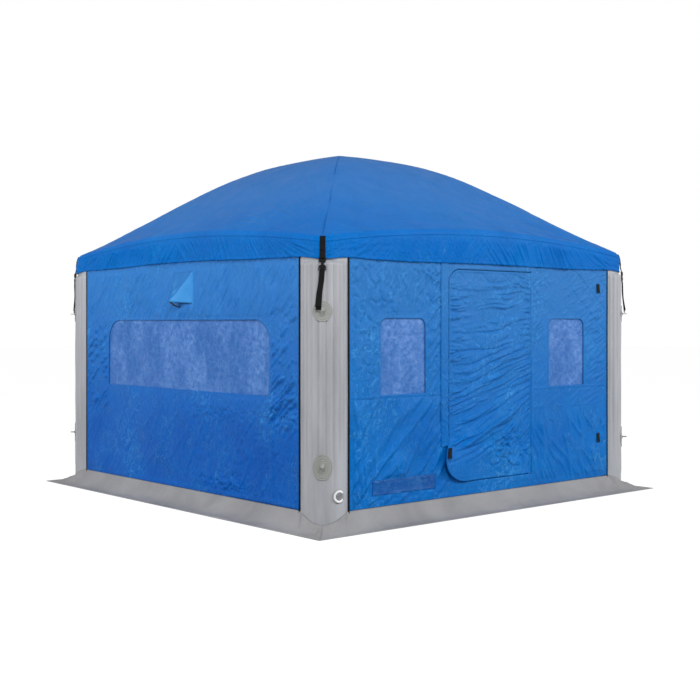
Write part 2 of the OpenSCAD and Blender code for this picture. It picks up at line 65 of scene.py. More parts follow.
# ---------- sizes taken from the frame ----------

HALF_X = -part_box("left_wall")[0].x
HALF_Y = -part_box("front_wall_left")[0].y

WALL_END = HALF_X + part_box("front_wall_left")[0].x        # from the virtual corner to a wall's end
WALL_HALF = HALF_X - WALL_END                             # the plan is square
WALL_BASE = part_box("left_wall")[0].z
WALL_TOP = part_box("wall_zips")[1].z                       # at a wall's ends
WALL_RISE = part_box("left_wall")[1].z - WALL_TOP
COLUMN_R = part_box("front_left_column")[1].x + HALF_X
COLUMN_T = 0.115
COLUMN_BULGE = 0.714                                       # radius of its tube as a share of its reach
TUBE_R = COLUMN_R * COLUMN_BULGE
TUBE_OUT = COLUMN_R * (math.sqrt(0.5) - math.sqrt(COLUMN_BULGE ** 2 - 0.5))
TUBE_HALF = math.asin(COLUMN_R * math.sqrt(0.5) / TUBE_R)  # half the turn of a tube that shows
COLUMN_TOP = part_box("front_left_column")[1].z
ZIP_W = WALL_END - COLUMN_R

CANOPY_X = -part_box("left_valance")[0].x
CANOPY_Y = -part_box("front_valance")[0].y
CANOPY_MIN = min(CANOPY_X, CANOPY_Y)
CANOPY_R = 0.130                                          # radius of its corners in plan
CANOPY_CUT = CANOPY_R * (1 - math.sqrt(0.5))              # what that takes off at a corner, along a side
CANOPY_T = 0.004
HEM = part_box("front_valance")[0].z                        # at the corners
SEAM_RISE = 0.122
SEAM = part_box("front_valance")[1].z - SEAM_RISE
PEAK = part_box("front_roof")[1].z
SHOULDER_R = 0.062

DOOR_LOW, DOOR_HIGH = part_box("door_panel")
DOOR_GAP = 0.006
DOOR_TOP_R = 0.120
DOOR_BASE_R = 0.200
HINGE_X = frame["joints"][0]["pos_m"][0]

# Each side: direction along it to the right seen from outside, outward direction, half length, distance
SIDES = {
    "front": ((1, 0, 0), (0, -1, 0), HALF_X, HALF_Y),
    "back": ((-1, 0, 0), (0, 1, 0), HALF_X, HALF_Y),
    "left": ((0, -1, 0), (-1, 0, 0), HALF_Y, HALF_X),
    "right": ((0, 1, 0), (1, 0, 0), HALF_Y, HALF_X),
}
CORNERS = {
    "front_left": (-1, -1),
    "front_right": (1, -1),
    "back_left": (-1, 1),
    "back_right": (1, 1),
}

# ---------- helpers: noise and folds ----------

NOISE_TABLES = {}


def noise_table(seed):
    if seed not in NOISE_TABLES:
        rng = np.random.default_rng(seed)
        turn = rng.uniform(0, 2 * math.pi, 256)
        NOISE_TABLES[seed] = (rng.permutation(256), np.cos(turn), np.sin(turn))
    return NOISE_TABLES[seed]


def noise(x, y, seed):
    """Smooth gradient noise, roughly from -1 to 1."""
    order, grad_x, grad_y = noise_table(seed)
    x, y = np.broadcast_arrays(np.asarray(x, float), np.asarray(y, float))
    cell_x = np.floor(x).astype(int)
    cell_y = np.floor(y).astype(int)
    fx = x - cell_x
    fy = y - cell_y

    def corner(dx, dy):
        g = order[(order[(cell_x + dx) & 255] + cell_y + dy) & 255]
        return grad_x[g] * (fx - dx) + grad_y[g] * (fy - dy)

    sx = fx * fx * fx * (fx * (fx * 6 - 15) + 10)
    sy = fy * fy * fy * (fy * (fy * 6 - 15) + 10)
    low = corner(0, 0) * (1 - sx) + corner(1, 0) * sx
    high = corner(0, 1) * (1 - sx) + corner(1, 1) * sx
    return 1.5 * (low * (1 - sy) + high * sy)


def layered(x, y, seed, layers=3):
    """Noise in layers, each at twice the pitch and half the height of the last."""
    return sum(noise(x * 2 ** i, y * 2 ** i, seed + i) / 2 ** i for i in range(layers))


def creased(n, width=0.25):
    """Turns noise into rounded cloth with narrow valleys where the noise is zero."""
    return 1 - np.exp(-((n / width) ** 2))


def ridged(n, width=0.25):
    """Turns noise into flat cloth with narrow raised folds where the noise is zero."""
    return np.exp(-((n / width) ** 2))


def smooth(a, b, x):
    """Goes from 0 at a to 1 at b."""
    t = np.clip((x - a) / (b - a), 0, 1)
    return t * t * (3 - 2 * t)


def near(u, v, u0, v0, reach_u, reach_v):
    """A soft spot: 1 at its middle, fading over its reach."""
    return ridged(u - u0, reach_u) * ridged(v - v0, reach_v)


def across(u, v, degrees):
    """Distance across a direction that is measured up from the horizontal."""
    turn = math.radians(degrees)
    return v * math.cos(turn) - u * math.sin(turn)


def slant(u, v, degrees, pitch, along, seed):
    """Noise whose folds run in a direction; along is the place along a fold."""
    return noise(across(u, v, degrees) / pitch, along, seed)


def line_fold(u, v, points, width, fade=0.05):
    """A fold along a line of points: 1 on the line, fading to its sides and at its ends."""
    best = np.full(np.shape(u), 9.0)
    total = 0.0
    place = np.zeros(np.shape(u))
    for (u0, v0), (u1, v1) in zip(points, points[1:]):
        length = math.hypot(u1 - u0, v1 - v0)
        t = np.clip(((u - u0) * (u1 - u0) + (v - v0) * (v1 - v0)) / length ** 2, 0, 1)
        d = np.hypot(u - u0 - t * (u1 - u0), v - v0 - t * (v1 - v0))
        place = np.where(d < best, total + t * length, place)
        best = np.minimum(best, d)
        total += length
    ends = smooth(0, fade, place) * smooth(total, total - fade, place)
    return np.exp(-((best / width) ** 2)) * ends


# ---------- helpers: outlines and meshes ----------


def arc(cx, cy, r, start, end, steps):
    turns = np.radians(np.linspace(start, end, steps))
    return [(cx + r * math.cos(t), cy + r * math.sin(t)) for t in turns]


def rectangle(left, base, right, top):
    return [(left, base), (right, base), (right, top), (left, top)]


def resampled(points, spacing):
    """A closed outline with its corners kept and points about a spacing apart."""
    out = []
    for (x0, y0), (x1, y1) in zip(points, points[1:] + points[:1]):
        steps = max(1, round(math.hypot(x1 - x0, y1 - y0) / spacing))
        out += [(x0 + (x1 - x0) * i / steps, y0 + (y1 - y0) * i / steps) for i in range(steps)]
    return out


def cleaned(points, least=0.002):
    """An outline without points that nearly repeat the one before."""
    out = [points[0]]
    for p in points[1:]:
        if math.dist(p, out[-1]) > least:
            out.append(p)
    return out if math.dist(out[0], out[-1]) > least else out[:-1]


def inside(px, py, outline):
    """Which of the points lie inside the outline."""
    hit = np.zeros(len(px), bool)
    for (x0, y0), (x1, y1) in zip(outline, outline[1:] + outline[:1]):
        if y0 != y1:
            crossing = (y0 > py) != (y1 > py)
            hit ^= crossing & (px < (x1 - x0) * (py - y0) / (y1 - y0) + x0)
    return hit


def triangulated(loops, spacing):
    """Points and triangles that fill the first loop around the others, the loops' points first."""
    rim, edges = [], []
    for loop in loops:
        start, count = len(rim), len(loop)
        edges += [(start + i, start + (i + 1) % count) for i in range(count)]
        rim += loop

    def within(x, y):
        keep = inside(x, y, loops[0])
        for hole in loops[1:]:
            keep &= ~inside(x, y, hole)
        return keep

    xs, ys = zip(*loops[0])
    rows = np.arange(min(ys) + spacing / 2, max(ys), spacing * 0.87)
    cols = np.arange(min(xs) + spacing / 2, max(xs), spacing)
    grid_x = (cols + (np.arange(len(rows)) % 2)[:, None] * spacing / 2).ravel()
    grid_y = np.repeat(rows, len(cols))
    keep = within(grid_x, grid_y)
    tree = KDTree(len(rim))
    for i, (x, y) in enumerate(rim):
        tree.insert((x, y, 0), i)
    tree.balance()
    clear = 0.62 * min(spacing, max(math.dist(rim[0], rim[1]), 0.5 * spacing))
    fill = [(x, y) for x, y in zip(grid_x[keep], grid_y[keep]) if tree.find((x, y, 0))[2] > clear]
    filled = delaunay_2d_cdt([Vector(p) for p in rim + fill], edges, [], 0, 1e-7, False)
    verts, tris = np.array([tuple(v) for v in filled[0]]), np.array(filled[2])
    a, b = (verts[tris[:, i]] - verts[tris[:, 0]] for i in (1, 2))
    sliver = np.abs(a[:, 0] * b[:, 1] - a[:, 1] * b[:, 0]) <= 1e-7
    centre = verts[tris].mean(1)
    return verts, tris[~sliver & within(centre[:, 0], centre[:, 1])]


def make_object(name, points, faces, material):
    mesh = bpy.data.meshes.new(name)
    mesh.from_pydata([tuple(p) for p in points], [], [tuple(int(i) for i in f) for f in faces])
    mesh.validate()
    mesh.materials.append(material)
    mesh.polygons.foreach_set("use_smooth", [True] * len(mesh.polygons))
    obj = bpy.data.objects.new(name, mesh)
    bpy.context.scene.collection.objects.link(obj)
    return obj


def face_outward(obj):
    """Turns a closed mesh's faces so that they all look outwards."""
    bm = bmesh.new()
    bm.from_mesh(obj.data)
    bmesh.ops.recalc_face_normals(bm, faces=bm.faces)
    bm.to_mesh(obj.data)
    bm.free()
    return obj


def set_up(obj, body, slot, *nodes):
    """Gives a piece its body and hides the nodes it stands for; the slot argument is not used."""
    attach(obj, body)
    if nodes:
        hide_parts(*nodes)


def skin(name, loops, spacing, place, relief, thick, material, back_spacing=0.07):
    """A closed panel of cloth: a finely folded face, a plainer back, joined round its loops.
    place turns (u, v, outward) into points; relief gives the face's outward shape."""
    loops = [resampled(cleaned(loop), spacing) for loop in loops]
    face_uv, face_tris = triangulated(loops, spacing)
    back_uv, back_tris = triangulated(loops, back_spacing)
    u, v = face_uv.T
    front = place(u, v, np.maximum(relief(u, v), -0.8 * thick))
    back = place(*back_uv.T, np.full(len(back_uv), -thick))
    # the face's own winding decides which way round everything goes
    a, b, c = front[face_tris[0]]
    u, v = face_uv[face_tris[0]].mean(0)[:, None]
    low, high = (place(u, v, np.array([h]))[0] for h in (0.0, 1.0))
    if np.dot(np.cross(b - a, c - a), high - low) < 0:
        face_tris = face_tris[:, ::-1]
    else:
        back_tris = back_tris[:, ::-1]
    behind = len(front)
    faces = face_tris.tolist()
    directed = {(t[i], t[(i + 1) % 3]) for t in faces for i in range(3)}
    faces += (back_tris + behind).tolist()
    start = 0
    for loop in loops:
        for i in range(len(loop)):
            p, q = start + i, start + (i + 1) % len(loop)
            if (p, q) not in directed:
                p, q = q, p
            faces.append((q, p, p + behind, q + behind))
        start += len(loop)
    return make_object(name, np.vstack([front, back]), faces, material)


def side_place(side, lift=0.0):
    """Places points on a wall: u along it to the right, v up, h outwards."""
    along, out, _, distance = SIDES[side]

    def place(u, v, h):
        flat = np.outer(u, along) + np.outer(distance + lift + h, out)
        flat[:, 2] = v
        return flat

    return place


def grid_shell(name, outer, inner, material):
    """A closed shell between two grids of points."""
    rows, cols = outer.shape[:2]
    size = rows * cols
    index = np.arange(size).reshape(rows, cols)
    a, b, c, d = index[:-1, :-1], index[:-1, 1:], index[1:, 1:], index[1:, :-1]
    pairs = np.stack([np.stack([a, b, c, d], -1), size + np.stack([d, c, b, a], -1)], 2)
    rim = np.concatenate([index[0, :-1], index[:-1, -1], index[-1, :0:-1], index[:0:-1, 0]])
    faces = pairs.reshape(-1, 4).tolist()
    faces += [(q, p, p + size, q + size) for p, q in zip(rim, np.roll(rim, -1))]
    points = np.vstack([outer.reshape(-1, 3), inner.reshape(-1, 3)])
    return face_outward(make_object(name, points, faces, material))


def around(sides):
    """The turns of the points on a ring."""
    return np.linspace(0, 2 * math.pi, sides, endpoint=False)


def ring_faces(rows, sides, start=0):
    """Faces of a tube made of rings of points, with both of its ends closed."""
    faces = []
    for a in range(start, start + (rows - 1) * sides, sides):
        for n in range(sides):
            m = (n + 1) % sides
            faces.append((a + n, a + m, a + sides + m, a + sides + n))
    last = start + (rows - 1) * sides
    return faces + [tuple(range(start + sides - 1, start - 1, -1)), tuple(range(last, last + sides))]


def ringed(name, rings, material):
    """A closed tube through rings of points."""
    rows, sides = rings.shape[:2]
    return face_outward(make_object(name, rings.reshape(-1, 3), ring_faces(rows, sides), material))


def unit(vectors):
    return vectors / np.linalg.norm(vectors, axis=-1, keepdims=True)


def tube(name, line, radius, material, sides, ripple):
    """A closed tube along a line of points, in a vertical plane or nearly so."""
    ahead = unit(np.gradient(line, axis=0))
    level = unit(np.cross(ahead, (0, 0, 1)))
    up = np.cross(level, ahead)
    turns = around(sides)
    r = radius + ripple(len(line), turns)
    spokes = np.cos(turns)[:, None] * level[:, None] + np.sin(turns)[:, None] * up[:, None]
    return ringed(name, line[:, None] + r[..., None] * spokes, material)


# ---------- materials ----------


def linear(r, g, b):
    """A colour from its 0 to 255 screen values."""
    shares = [c / 255 for c in (r, g, b)]
    return (*(c / 12.92 if c <= 0.04045 else ((c + 0.055) / 1.055) ** 2.4 for c in shares), 1.0)


def toned(shade, share):
    """A colour made lighter or darker."""
    return (*(min(1, c * share) for c in shade[:3]), 1.0)


def fill(tree, node, inputs):
    """Links each input to another node's output, or sets it to a value."""
    for socket, value in inputs.items():
        if isinstance(value, bpy.types.NodeSocket):
            tree.links.new(value, node.inputs[socket])
        elif value is not None:
            node.inputs[socket].default_value = value


def wired(tree, kind, inputs, output=0, **settings):
    """Adds a node and gives one of its outputs."""
    node = tree.nodes.new("ShaderNode" + kind)
    for key, value in settings.items():
        setattr(node, key, value)
    fill(tree, node, inputs)
    return node.outputs[output]


class Nodes:
    """A small builder of node materials. Its methods give outputs to link; finish gives the material."""

    def __init__(self, name, **sockets):
        self.material = bpy.data.materials.new(name)
        self.material.use_nodes = True
        self.tree = self.material.node_tree
        self.shader = self.tree.nodes["Principled BSDF"]
        self.place = self.add("TexCoord", {}, "Object")
        fill(self.tree, self.shader, {socket.replace("_", " "): value for socket, value in sockets.items()})

    def add(self, kind, inputs, output=0, **settings):
        return wired(self.tree, kind, inputs, output, **settings)

    def scaled(self, x, y, z, tilt=0):
        """Coordinates stretched by axis, and tilted about the y axis."""
        turn = (0, math.radians(tilt), 0)
        return self.add("Mapping", {"Vector": self.place, "Scale": (x, y, z), "Rotation": turn})

    def noise(self, scale, detail=3.0, rough=0.5, vector=None, distortion=0.0):
        return self.add("TexNoise", {"Vector": vector or self.place, "Scale": scale, "Detail": detail,
                                     "Roughness": rough, "Distortion": distortion}, "Fac")

    def wave(self, scale, direction):
        return self.add("TexWave", {"Vector": self.place, "Scale": scale}, "Fac", bands_direction=direction)

    def ramp(self, value, *stops):
        """A ramp through stops of a place and a colour or a grey."""
        node = self.tree.nodes.new("ShaderNodeValToRGB")
        ends = node.color_ramp.elements
        while len(ends) < len(stops):
            ends.new(0.5)
        for end, (place, colour) in zip(ends, stops):
            end.position = place
            end.color = colour if isinstance(colour, tuple) else (colour, colour, colour, 1)
        fill(self.tree, node, {"Fac": value})
        return node.outputs["Color"]

    def math(self, operation, a, b):
        return self.add("Math", {0: a, 1: b}, operation=operation)

    def mixed(self, a, b, share):
        return self.add("Mix", {"Factor": share, 6: a, 7: b}, 2, data_type="RGBA")

    def leaning(self, along, across):
        """Coordinates stretched along the creases, which lean up to the right on front and left faces."""
        axes = ((0.48, -0.48, 0.735), (0.71, 0.71, 0.0), (0.52, -0.52, -0.68))
        inputs = {}
        for i, (axis, scale) in enumerate(zip(axes, (along, across, across))):
            dot = self.add("VectorMath", {0: self.place, 1: axis}, "Value", operation="DOT_PRODUCT")
            inputs[i] = self.math("MULTIPLY", dot, scale)
        return self.add("CombineXYZ", inputs)

    def cells(self, scale, bend):
        """Distance to the edges of bent cells, for creases."""
        drift = self.add("TexNoise", {"Vector": self.place, "Scale": scale * 0.9}, "Color")
        reach = (14 * bend / scale,) * 3
        moved = self.add("VectorMath", {0: drift, 1: reach, 2: self.place}, operation="MULTIPLY_ADD")
        return self.add("TexVoronoi", {"Vector": moved, "Scale": scale}, "Distance",
                        feature="DISTANCE_TO_EDGE")

    def bump(self, height, distance, strength, before=None):
        return self.add("Bump", {"Height": height, "Distance": distance, "Strength": strength,
                                 "Normal": before})

    def finish(self, colour, normal, roughness=None):
        fill(self.tree, self.shader, {"Base Color": colour, "Normal": normal, "Roughness": roughness})
        return self.material


def weave(m, pitch):
    """Height of a plain weave: crossed sets of threads."""
    x, y, z = (m.wave(0.16 / pitch, axis) for axis in "XYZ")
    return m.math("ADD", m.math("ADD", x, y), z)


def nylon(name, dark, mid, light, crinkle=1.0, rough=0.42, gloss=0.22, creases_and_glint=0.0, painted_glint=None, top=None,
          fade=None):
    """Thin coated nylon: soft patches of tone, creases with painted highlights, fine crinkles and a close
    weave.
    glint colours the creases as painted highlights; top is a lighter tone, painted light from above, that
    takes over between the two heights of the fade."""
    m = Nodes(name, Specular_IOR_Level=gloss, IOR=1.45)
    colour = m.ramp(m.noise(1.7, 5, 0.62, distortion=0.4), (0.30, dark), (0.5, mid), (0.72, light))
    # painted light from above: the colour turns to the lighter top tone between the fade's two heights
    if top:
        height = m.add("SeparateXYZ", {"Vector": m.place}, "Z")
        share = m.math("DIVIDE", m.math("SUBTRACT", height, fade[0]), fade[1] - fade[0])
        colour = m.mixed(colour, top, m.ramp(share, (0.0, 0), (1.0, 1)))
    normal = m.bump(m.noise(22, 4, 0.62, distortion=1.3), 0.010 * crinkle, 0.5)
    # creases: bumped as real folds, and lightened in colour towards the glint colour as painted highlights
    if creases_and_glint:
        creases = []
        for along, across, power, low in ((2.2, 14, 1.0, 0.50), (6.5, 38, 0.8, 0.47)):
            lines = m.noise(1.0, 3, 0.55, m.leaning(along, across), distortion=0.5)
            line = m.ramp(lines, (0.470, 0), (0.496, 1), (0.504, 1), (0.530, 0))
            patch = m.ramp(m.noise(along * 0.8, 4, 0.6), (low, 0), (low + 0.14, 1))
            creases.append((line, patch, power, 0.005))
        web = m.ramp(m.cells(7.0, 0.10), (0.0, 1), (0.03, 0))
        creases.append((web, m.ramp(m.noise(2.1, 4, 0.6), (0.56, 0), (0.66, 1)), 0.28, 0.004))
        for line, patch, power, height in creases:
            crease = m.math("MULTIPLY", m.math("MULTIPLY", line, patch), power * creases_and_glint)
            colour = m.mixed(colour, painted_glint, crease)
            normal = m.bump(crease, height, 0.8, normal)
    normal = m.bump(m.noise(85, 3, 0.6), 0.0015 * crinkle, 0.5, normal)
    normal = m.bump(weave(m, 0.0012), 0.0003, 0.35, normal)
    return m.finish(colour, normal, m.ramp(m.noise(6, 4), (0.3, rough - 0.05), (0.7, rough + 0.08)))


def vinyl(name, dark, mid, light, rough=0.45):
    """Coated air-beam fabric: soft vertical mottling, faint scuffs, a fine grain."""
    m = Nodes(name, Specular_IOR_Level=0.35, IOR=1.45)
    tone = m.noise(3.0, 4, 0.6, m.scaled(2.2, 2.2, 0.35))
    colour = m.ramp(tone, (0.32, dark), (0.5, mid), (0.7, light))
    normal = m.bump(m.noise(9, 3, 0.5, m.scaled(1, 1, 0.5)), 0.004, 0.4)
    normal = m.bump(m.noise(420, 2, 0.5), 0.0003, 0.4, normal)
    return m.finish(colour, normal, m.ramp(m.noise(14, 5, 0.7), (0.35, rough - 0.06), (0.7, rough + 0.1)))


def webbing(name, shade, rough=0.62):
    """Woven webbing: crosswise ribs and a slight sheen."""
    m = Nodes(name, Specular_IOR_Level=0.12)
    tone = m.noise(60, 3, 0.6)
    colour = m.ramp(tone, (0.3, toned(shade, 0.7)), (0.7, toned(shade, 1.5)))
    normal = m.bump(m.wave(0.16 / 0.0022, "Z"), 0.0006, 0.8)
    normal = m.bump(m.noise(900, 2), 0.0002, 0.5, normal)
    return m.finish(colour, normal, m.ramp(tone, (0.3, rough - 0.06), (0.7, rough + 0.06)))


def moulded(name, shade, rough=0.35, metallic=0.0, gloss=0.4):
    """Moulded plastic or plated wire: fine grain and slight wear in its gloss."""
    m = Nodes(name, Specular_IOR_Level=gloss, Metallic=metallic)
    tone = m.noise(35, 4, 0.6)
    colour = m.ramp(tone, (0.3, toned(shade, 0.85)), (0.7, toned(shade, 1.15)))
    normal = m.bump(m.noise(700, 2), 0.0002, 0.4)
    return m.finish(colour, normal, m.ramp(tone, (0.3, rough - 0.06), (0.7, rough + 0.08)))


def clear_vinyl(name, dark, mid, light, alpha=0.93, rough=0.34, gloss=0.16):
    """Clear window film over a blue cover: finely clouded, softly crinkled, with faint slanted scuffs."""
    m = Nodes(name, Specular_IOR_Level=gloss, Alpha=alpha, IOR=1.5)
    cloud = m.noise(21, 6, 0.68, m.scaled(1, 1, 1.25, 38), distortion=0.6)
    colour = m.ramp(cloud, (0.30, dark), (0.50, mid), (0.72, light))
    wide = m.ramp(m.noise(4, 4, 0.6, m.scaled(1, 1, 0.6, -40)), (0.44, 0), (0.62, 0.75))
    colour = m.mixed(colour, dark, wide)
    colour = m.mixed(colour, light, m.ramp(m.cells(9.0, 0.16), (0.0, 0.22), (0.10, 0)))
    normal = m.bump(m.noise(26, 5, 0.6, distortion=0.8), 0.008, 0.5)
    normal = m.bump(m.noise(90, 3, 0.6), 0.0015, 0.4, normal)
    return m.finish(colour, normal, m.ramp(cloud, (0.3, rough - 0.06), (0.7, rough + 0.14)))


def mesh_screen(name):
    """Black insect mesh."""
    m = Nodes(name, Roughness=0.7, Specular_IOR_Level=0.3)
    x, y, z = (m.wave(90, axis) for axis in "XYZ")
    threads = m.math("MAXIMUM", z, m.math("MAXIMUM", x, y))
    colour = m.ramp(threads, (0.5, (0.004, 0.004, 0.004, 1)), (0.9, (0.03, 0.03, 0.032, 1)))
    return m.finish(colour, m.bump(threads, 0.0006, 0.6))


# canopy cloth: lighter towards the crown as painted sheen, with painted highlights along its creases
canopy_cloth = nylon(
    "canopy_nylon", linear(0, 94, 176), linear(0, 100, 182), linear(0, 106, 187), crinkle=1.0, gloss=0.06,
    creases_and_glint=0.50, painted_glint=linear(26, 132, 210), top=linear(44, 112, 186), fade=(2.15, 2.6))
# wall cloth: lighter towards the top as painted light from above, with painted highlights along its creases
wall_cloth = nylon(
    "wall_nylon", linear(0, 94, 176), linear(0, 102, 183), linear(0, 110, 189), crinkle=1.5, rough=0.36,
    gloss=0.10, creases_and_glint=0.70, painted_glint=linear(66, 150, 222), top=linear(42, 113, 182), fade=(0.6, 1.9))
# a darker copy of the wall cloth as painted shade for the long walls, lighter towards the top as painted
# light from above, with painted highlights along its creases
shaded_side_cloth = nylon(
    "shaded_side_wall_nylon", linear(0, 80, 168), linear(0, 87, 175), linear(0, 94, 181), crinkle=1.5, rough=0.36,
    gloss=0.10, creases_and_glint=0.62, painted_glint=linear(66, 150, 222), top=linear(46, 118, 192), fade=(0.6, 1.9))
# a lighter copy of the wall cloth: painted light on the vent flaps' lit faces
lit_flap_cloth = nylon(
    "lit_flap_nylon", linear(30, 122, 198), linear(44, 134, 205), linear(58, 146, 212), crinkle=0.5)
column_vinyl = vinyl("column_vinyl", linear(147, 149, 153), linear(158, 160, 165), linear(168, 170, 176))
patch_vinyl = vinyl(
    "patch_vinyl", linear(134, 136, 132), linear(145, 147, 143), linear(154, 156, 153), rough=0.35)
skirt_cloth = nylon(
    "skirt_fabric", linear(128, 128, 130), linear(141, 141, 143), linear(152, 152, 154), crinkle=0.7,
    rough=0.6)
window_film = clear_vinyl("window_film", linear(38, 96, 170), linear(72, 121, 190), linear(108, 148, 210))
pocket_film = clear_vinyl(
    "pocket_film", linear(4, 86, 174), linear(12, 98, 184), linear(70, 144, 214), alpha=0.5, rough=0.2,
    gloss=0.2)
black_web = webbing("black_webbing", linear(10, 10, 11))
black_plastic = moulded("black_plastic", linear(8, 8, 9), 0.35, gloss=0.2)
white_plastic = moulded("white_plastic", linear(226, 228, 230), 0.35)
grey_plastic = moulded("grey_plastic", linear(134, 136, 139), 0.4)
ring_metal = moulded("ring_metal", linear(120, 120, 118), 0.3, metallic=0.6)
screen_black = mesh_screen("vent_mesh")
thread_navy = webbing("navy_thread", linear(4, 52, 120), rough=0.55)

# ---------- the canopy ----------

FOLD_ANGLE = math.radians(28)                     # slope at which the fold over the eaves begins
FOLD_REACH = 1 - SHOULDER_R * (1 - math.sin(FOLD_ANGLE)) / CANOPY_MIN
FOLD_H = SHOULDER_R * math.cos(FOLD_ANGLE)
FOLD_SHARE = 0.90                                 # share of the rows before the fold
CROWN_FLAT, EAVE_HANDLE = 0.404, 0.645            # handles of the roof's curve, as shares of its reach
HIP_FALL, MID_FALL = 0.566, 0.44                  # slopes at the fold


def bezier(p, t):
    return (p[0] * (1 - t) ** 3 + 3 * p[1] * (1 - t) ** 2 * t + 3 * p[2] * (1 - t) * t ** 2 + p[3] * t ** 3)


def path_k(x, half_long, r):
    """How far round a side's rounded path a distance along it lies, from -1 to 1."""
    straight = half_long - r
    past = np.clip((np.abs(x) - straight) / r, 0, math.sin(math.pi / 4))
    run = np.minimum(np.abs(x), straight) + r * np.arcsin(past)
    return np.sign(x) * run / (straight + r * math.pi / 4)


def path_depth(x, half_long, half_deep, r):
    """Distance of a side's rounded path from the middle of the plan."""
    past = np.clip((np.abs(x) - (half_long - r)) / r, 0, math.sin(math.pi / 4))
    return half_deep - r + r * np.sqrt(1 - past ** 2)


def roof_profile(t, k):
    """Scale of the plan, height and slope of the roof at t (0 crown, 1 seam) and k along a side."""
    row = np.clip(t / FOLD_SHARE, 0, 1)
    turn = FOLD_ANGLE + (math.pi / 2 - FOLD_ANGLE) * np.clip((t - FOLD_SHARE) / (1 - FOLD_SHARE), 0, 1)
    folded = t > FOLD_SHARE
    seam = SEAM + SEAM_RISE * (1 - k * k)
    edge = seam + FOLD_H
    fall = MID_FALL + (HIP_FALL - MID_FALL) * k * k
    handle = edge + fall * (FOLD_REACH - EAVE_HANDLE) * CANOPY_MIN
    scale = np.where(folded, 1 - SHOULDER_R * (1 - np.sin(turn)) / CANOPY_MIN,
                     bezier((0, CROWN_FLAT, EAVE_HANDLE, FOLD_REACH), row))
    height = np.where(folded, seam + SHOULDER_R * np.cos(turn), bezier((PEAK, PEAK, handle, edge), row))
    lean = np.where(folded, turn, FOLD_ANGLE * row)
    return scale, height, lean


def canopy_place(side):
    """Places a gore: u along the side at its own scale, t from the crown to the seam."""
    along, out, half, distance = SIDES[side]
    long, deep = half + CANOPY_X - HALF_X, distance + CANOPY_X - HALF_X
    straight_end = long - CANOPY_CUT

    def place(u, t, h):
        scale = np.maximum(roof_profile(t, 0 * t)[0], 1e-6)
        x = np.clip(u / scale, -straight_end, straight_end)
        k = path_k(x, long, CANOPY_R)
        scale, height, lean = roof_profile(t, k)
        reach = path_depth(x, long, deep, CANOPY_R)
        flat = np.outer(scale * x, along) + np.outer(scale * reach + h * np.sin(lean), out)
        flat[:, 2] = height + h * np.cos(lean)
        return flat

    return place, straight_end


def roof_relief(side, crown_to_seam):
    """Outward shape of a gore: slack, pull lines to its corners, puckers along its hips."""
    _, straight_end = canopy_place(side)
    seed = {"front": 40, "left": 60, "back": 80, "right": 100}[side]

    def relief(u, w):
        t = w / crown_to_seam
        scale = np.maximum(roof_profile(t, 0 * t)[0], 1e-3)
        across = u / (scale * straight_end)              # -1 and 1 on the hips
        hip_gap = (1 - np.abs(across)) * scale * straight_end * 0.72
        far = crown_to_seam - w
        h = 0.006 * layered(u / 0.9, w / 0.7, seed, 2)
        # pull lines that run down to the right corner, and fainter ones to the left
        for sign, height, new_seed in ((1, 0.0062, seed + 1), (-1, 0.0034, seed + 2)):
            du, dw = u - sign * 2.15, w - (crown_to_seam + 0.05)
            turn = np.arctan2(-dw, -sign * du)
            away = np.hypot(du, dw)
            lines = noise(turn * 26, away / 0.9, new_seed)
            spot = smooth(0.35, 0.9, away) * smooth(2.3, 1.4, away) * smooth(0.06, 0.20, turn)
            h += height * spot * smooth(1.15, 0.6, turn) * creased(lines, 0.45)
        # short puckers across the stitched hip seams, and the seam's own ridge
        puckers = noise(w / 0.028, across * 3, seed + 3)
        h += 0.0028 * puckers * smooth(0.10, 0.0, hip_gap) * smooth(0.10, 0.35, w)
        h += 0.0030 * smooth(0.018, 0.008, hip_gap) - 0.0035 * ridged(hip_gap - 0.024, 0.006)
        # the fold over the eaves stays taut; ticks hang under its crest
        ticks = noise(u / 0.020, w / 0.10, seed + 4)
        crest = ridged(far - 0.105, 0.045)
        h += 0.0014 * crest * ticks * smooth(0.2, 0.6, np.abs(noise(u / 0.7, 0 * u, seed + 5)) + 0.35)
        h = h * smooth(0.0, 0.03, far) * smooth(0.02, 0.25, w)
        return h - 0.030 * ridged(w, 0.26)

    return relief


def gore(side, spacing):
    place, straight_end = canopy_place(side)
    # length of the gore's middle line, so that its cut is laid out in metres
    t = np.linspace(0, 1, 200)
    scale, height, _ = roof_profile(t, 0 * t)
    deep = path_depth(np.zeros(1), SIDES[side][2] + 0.01, SIDES[side][3] + 0.01, CANOPY_R)[0]
    steps = np.hypot(np.diff(scale * deep), np.diff(height))
    length = np.concatenate([[0], np.cumsum(steps)])
    total = length[-1]

    def at(u, w, h):
        return place(u, np.interp(w, length, t), h)

    rows = np.concatenate([[0.002, 0.010], np.linspace(0.02, total, 60)])
    half = np.interp(np.interp(rows, length, t), t, scale) * straight_end
    outline = [(x, w) for x, w in zip(half, rows)] + [(-x, w) for x, w in zip(half[::-1], rows[::-1])]
    name = f"{side}_gore"
    piece = skin(name, [outline], spacing, at, roof_relief(side, total), CANOPY_T, canopy_cloth, 0.09)
    set_up(piece, SHELTER, "canopy_fabric", f"{side}_roof")
    return piece


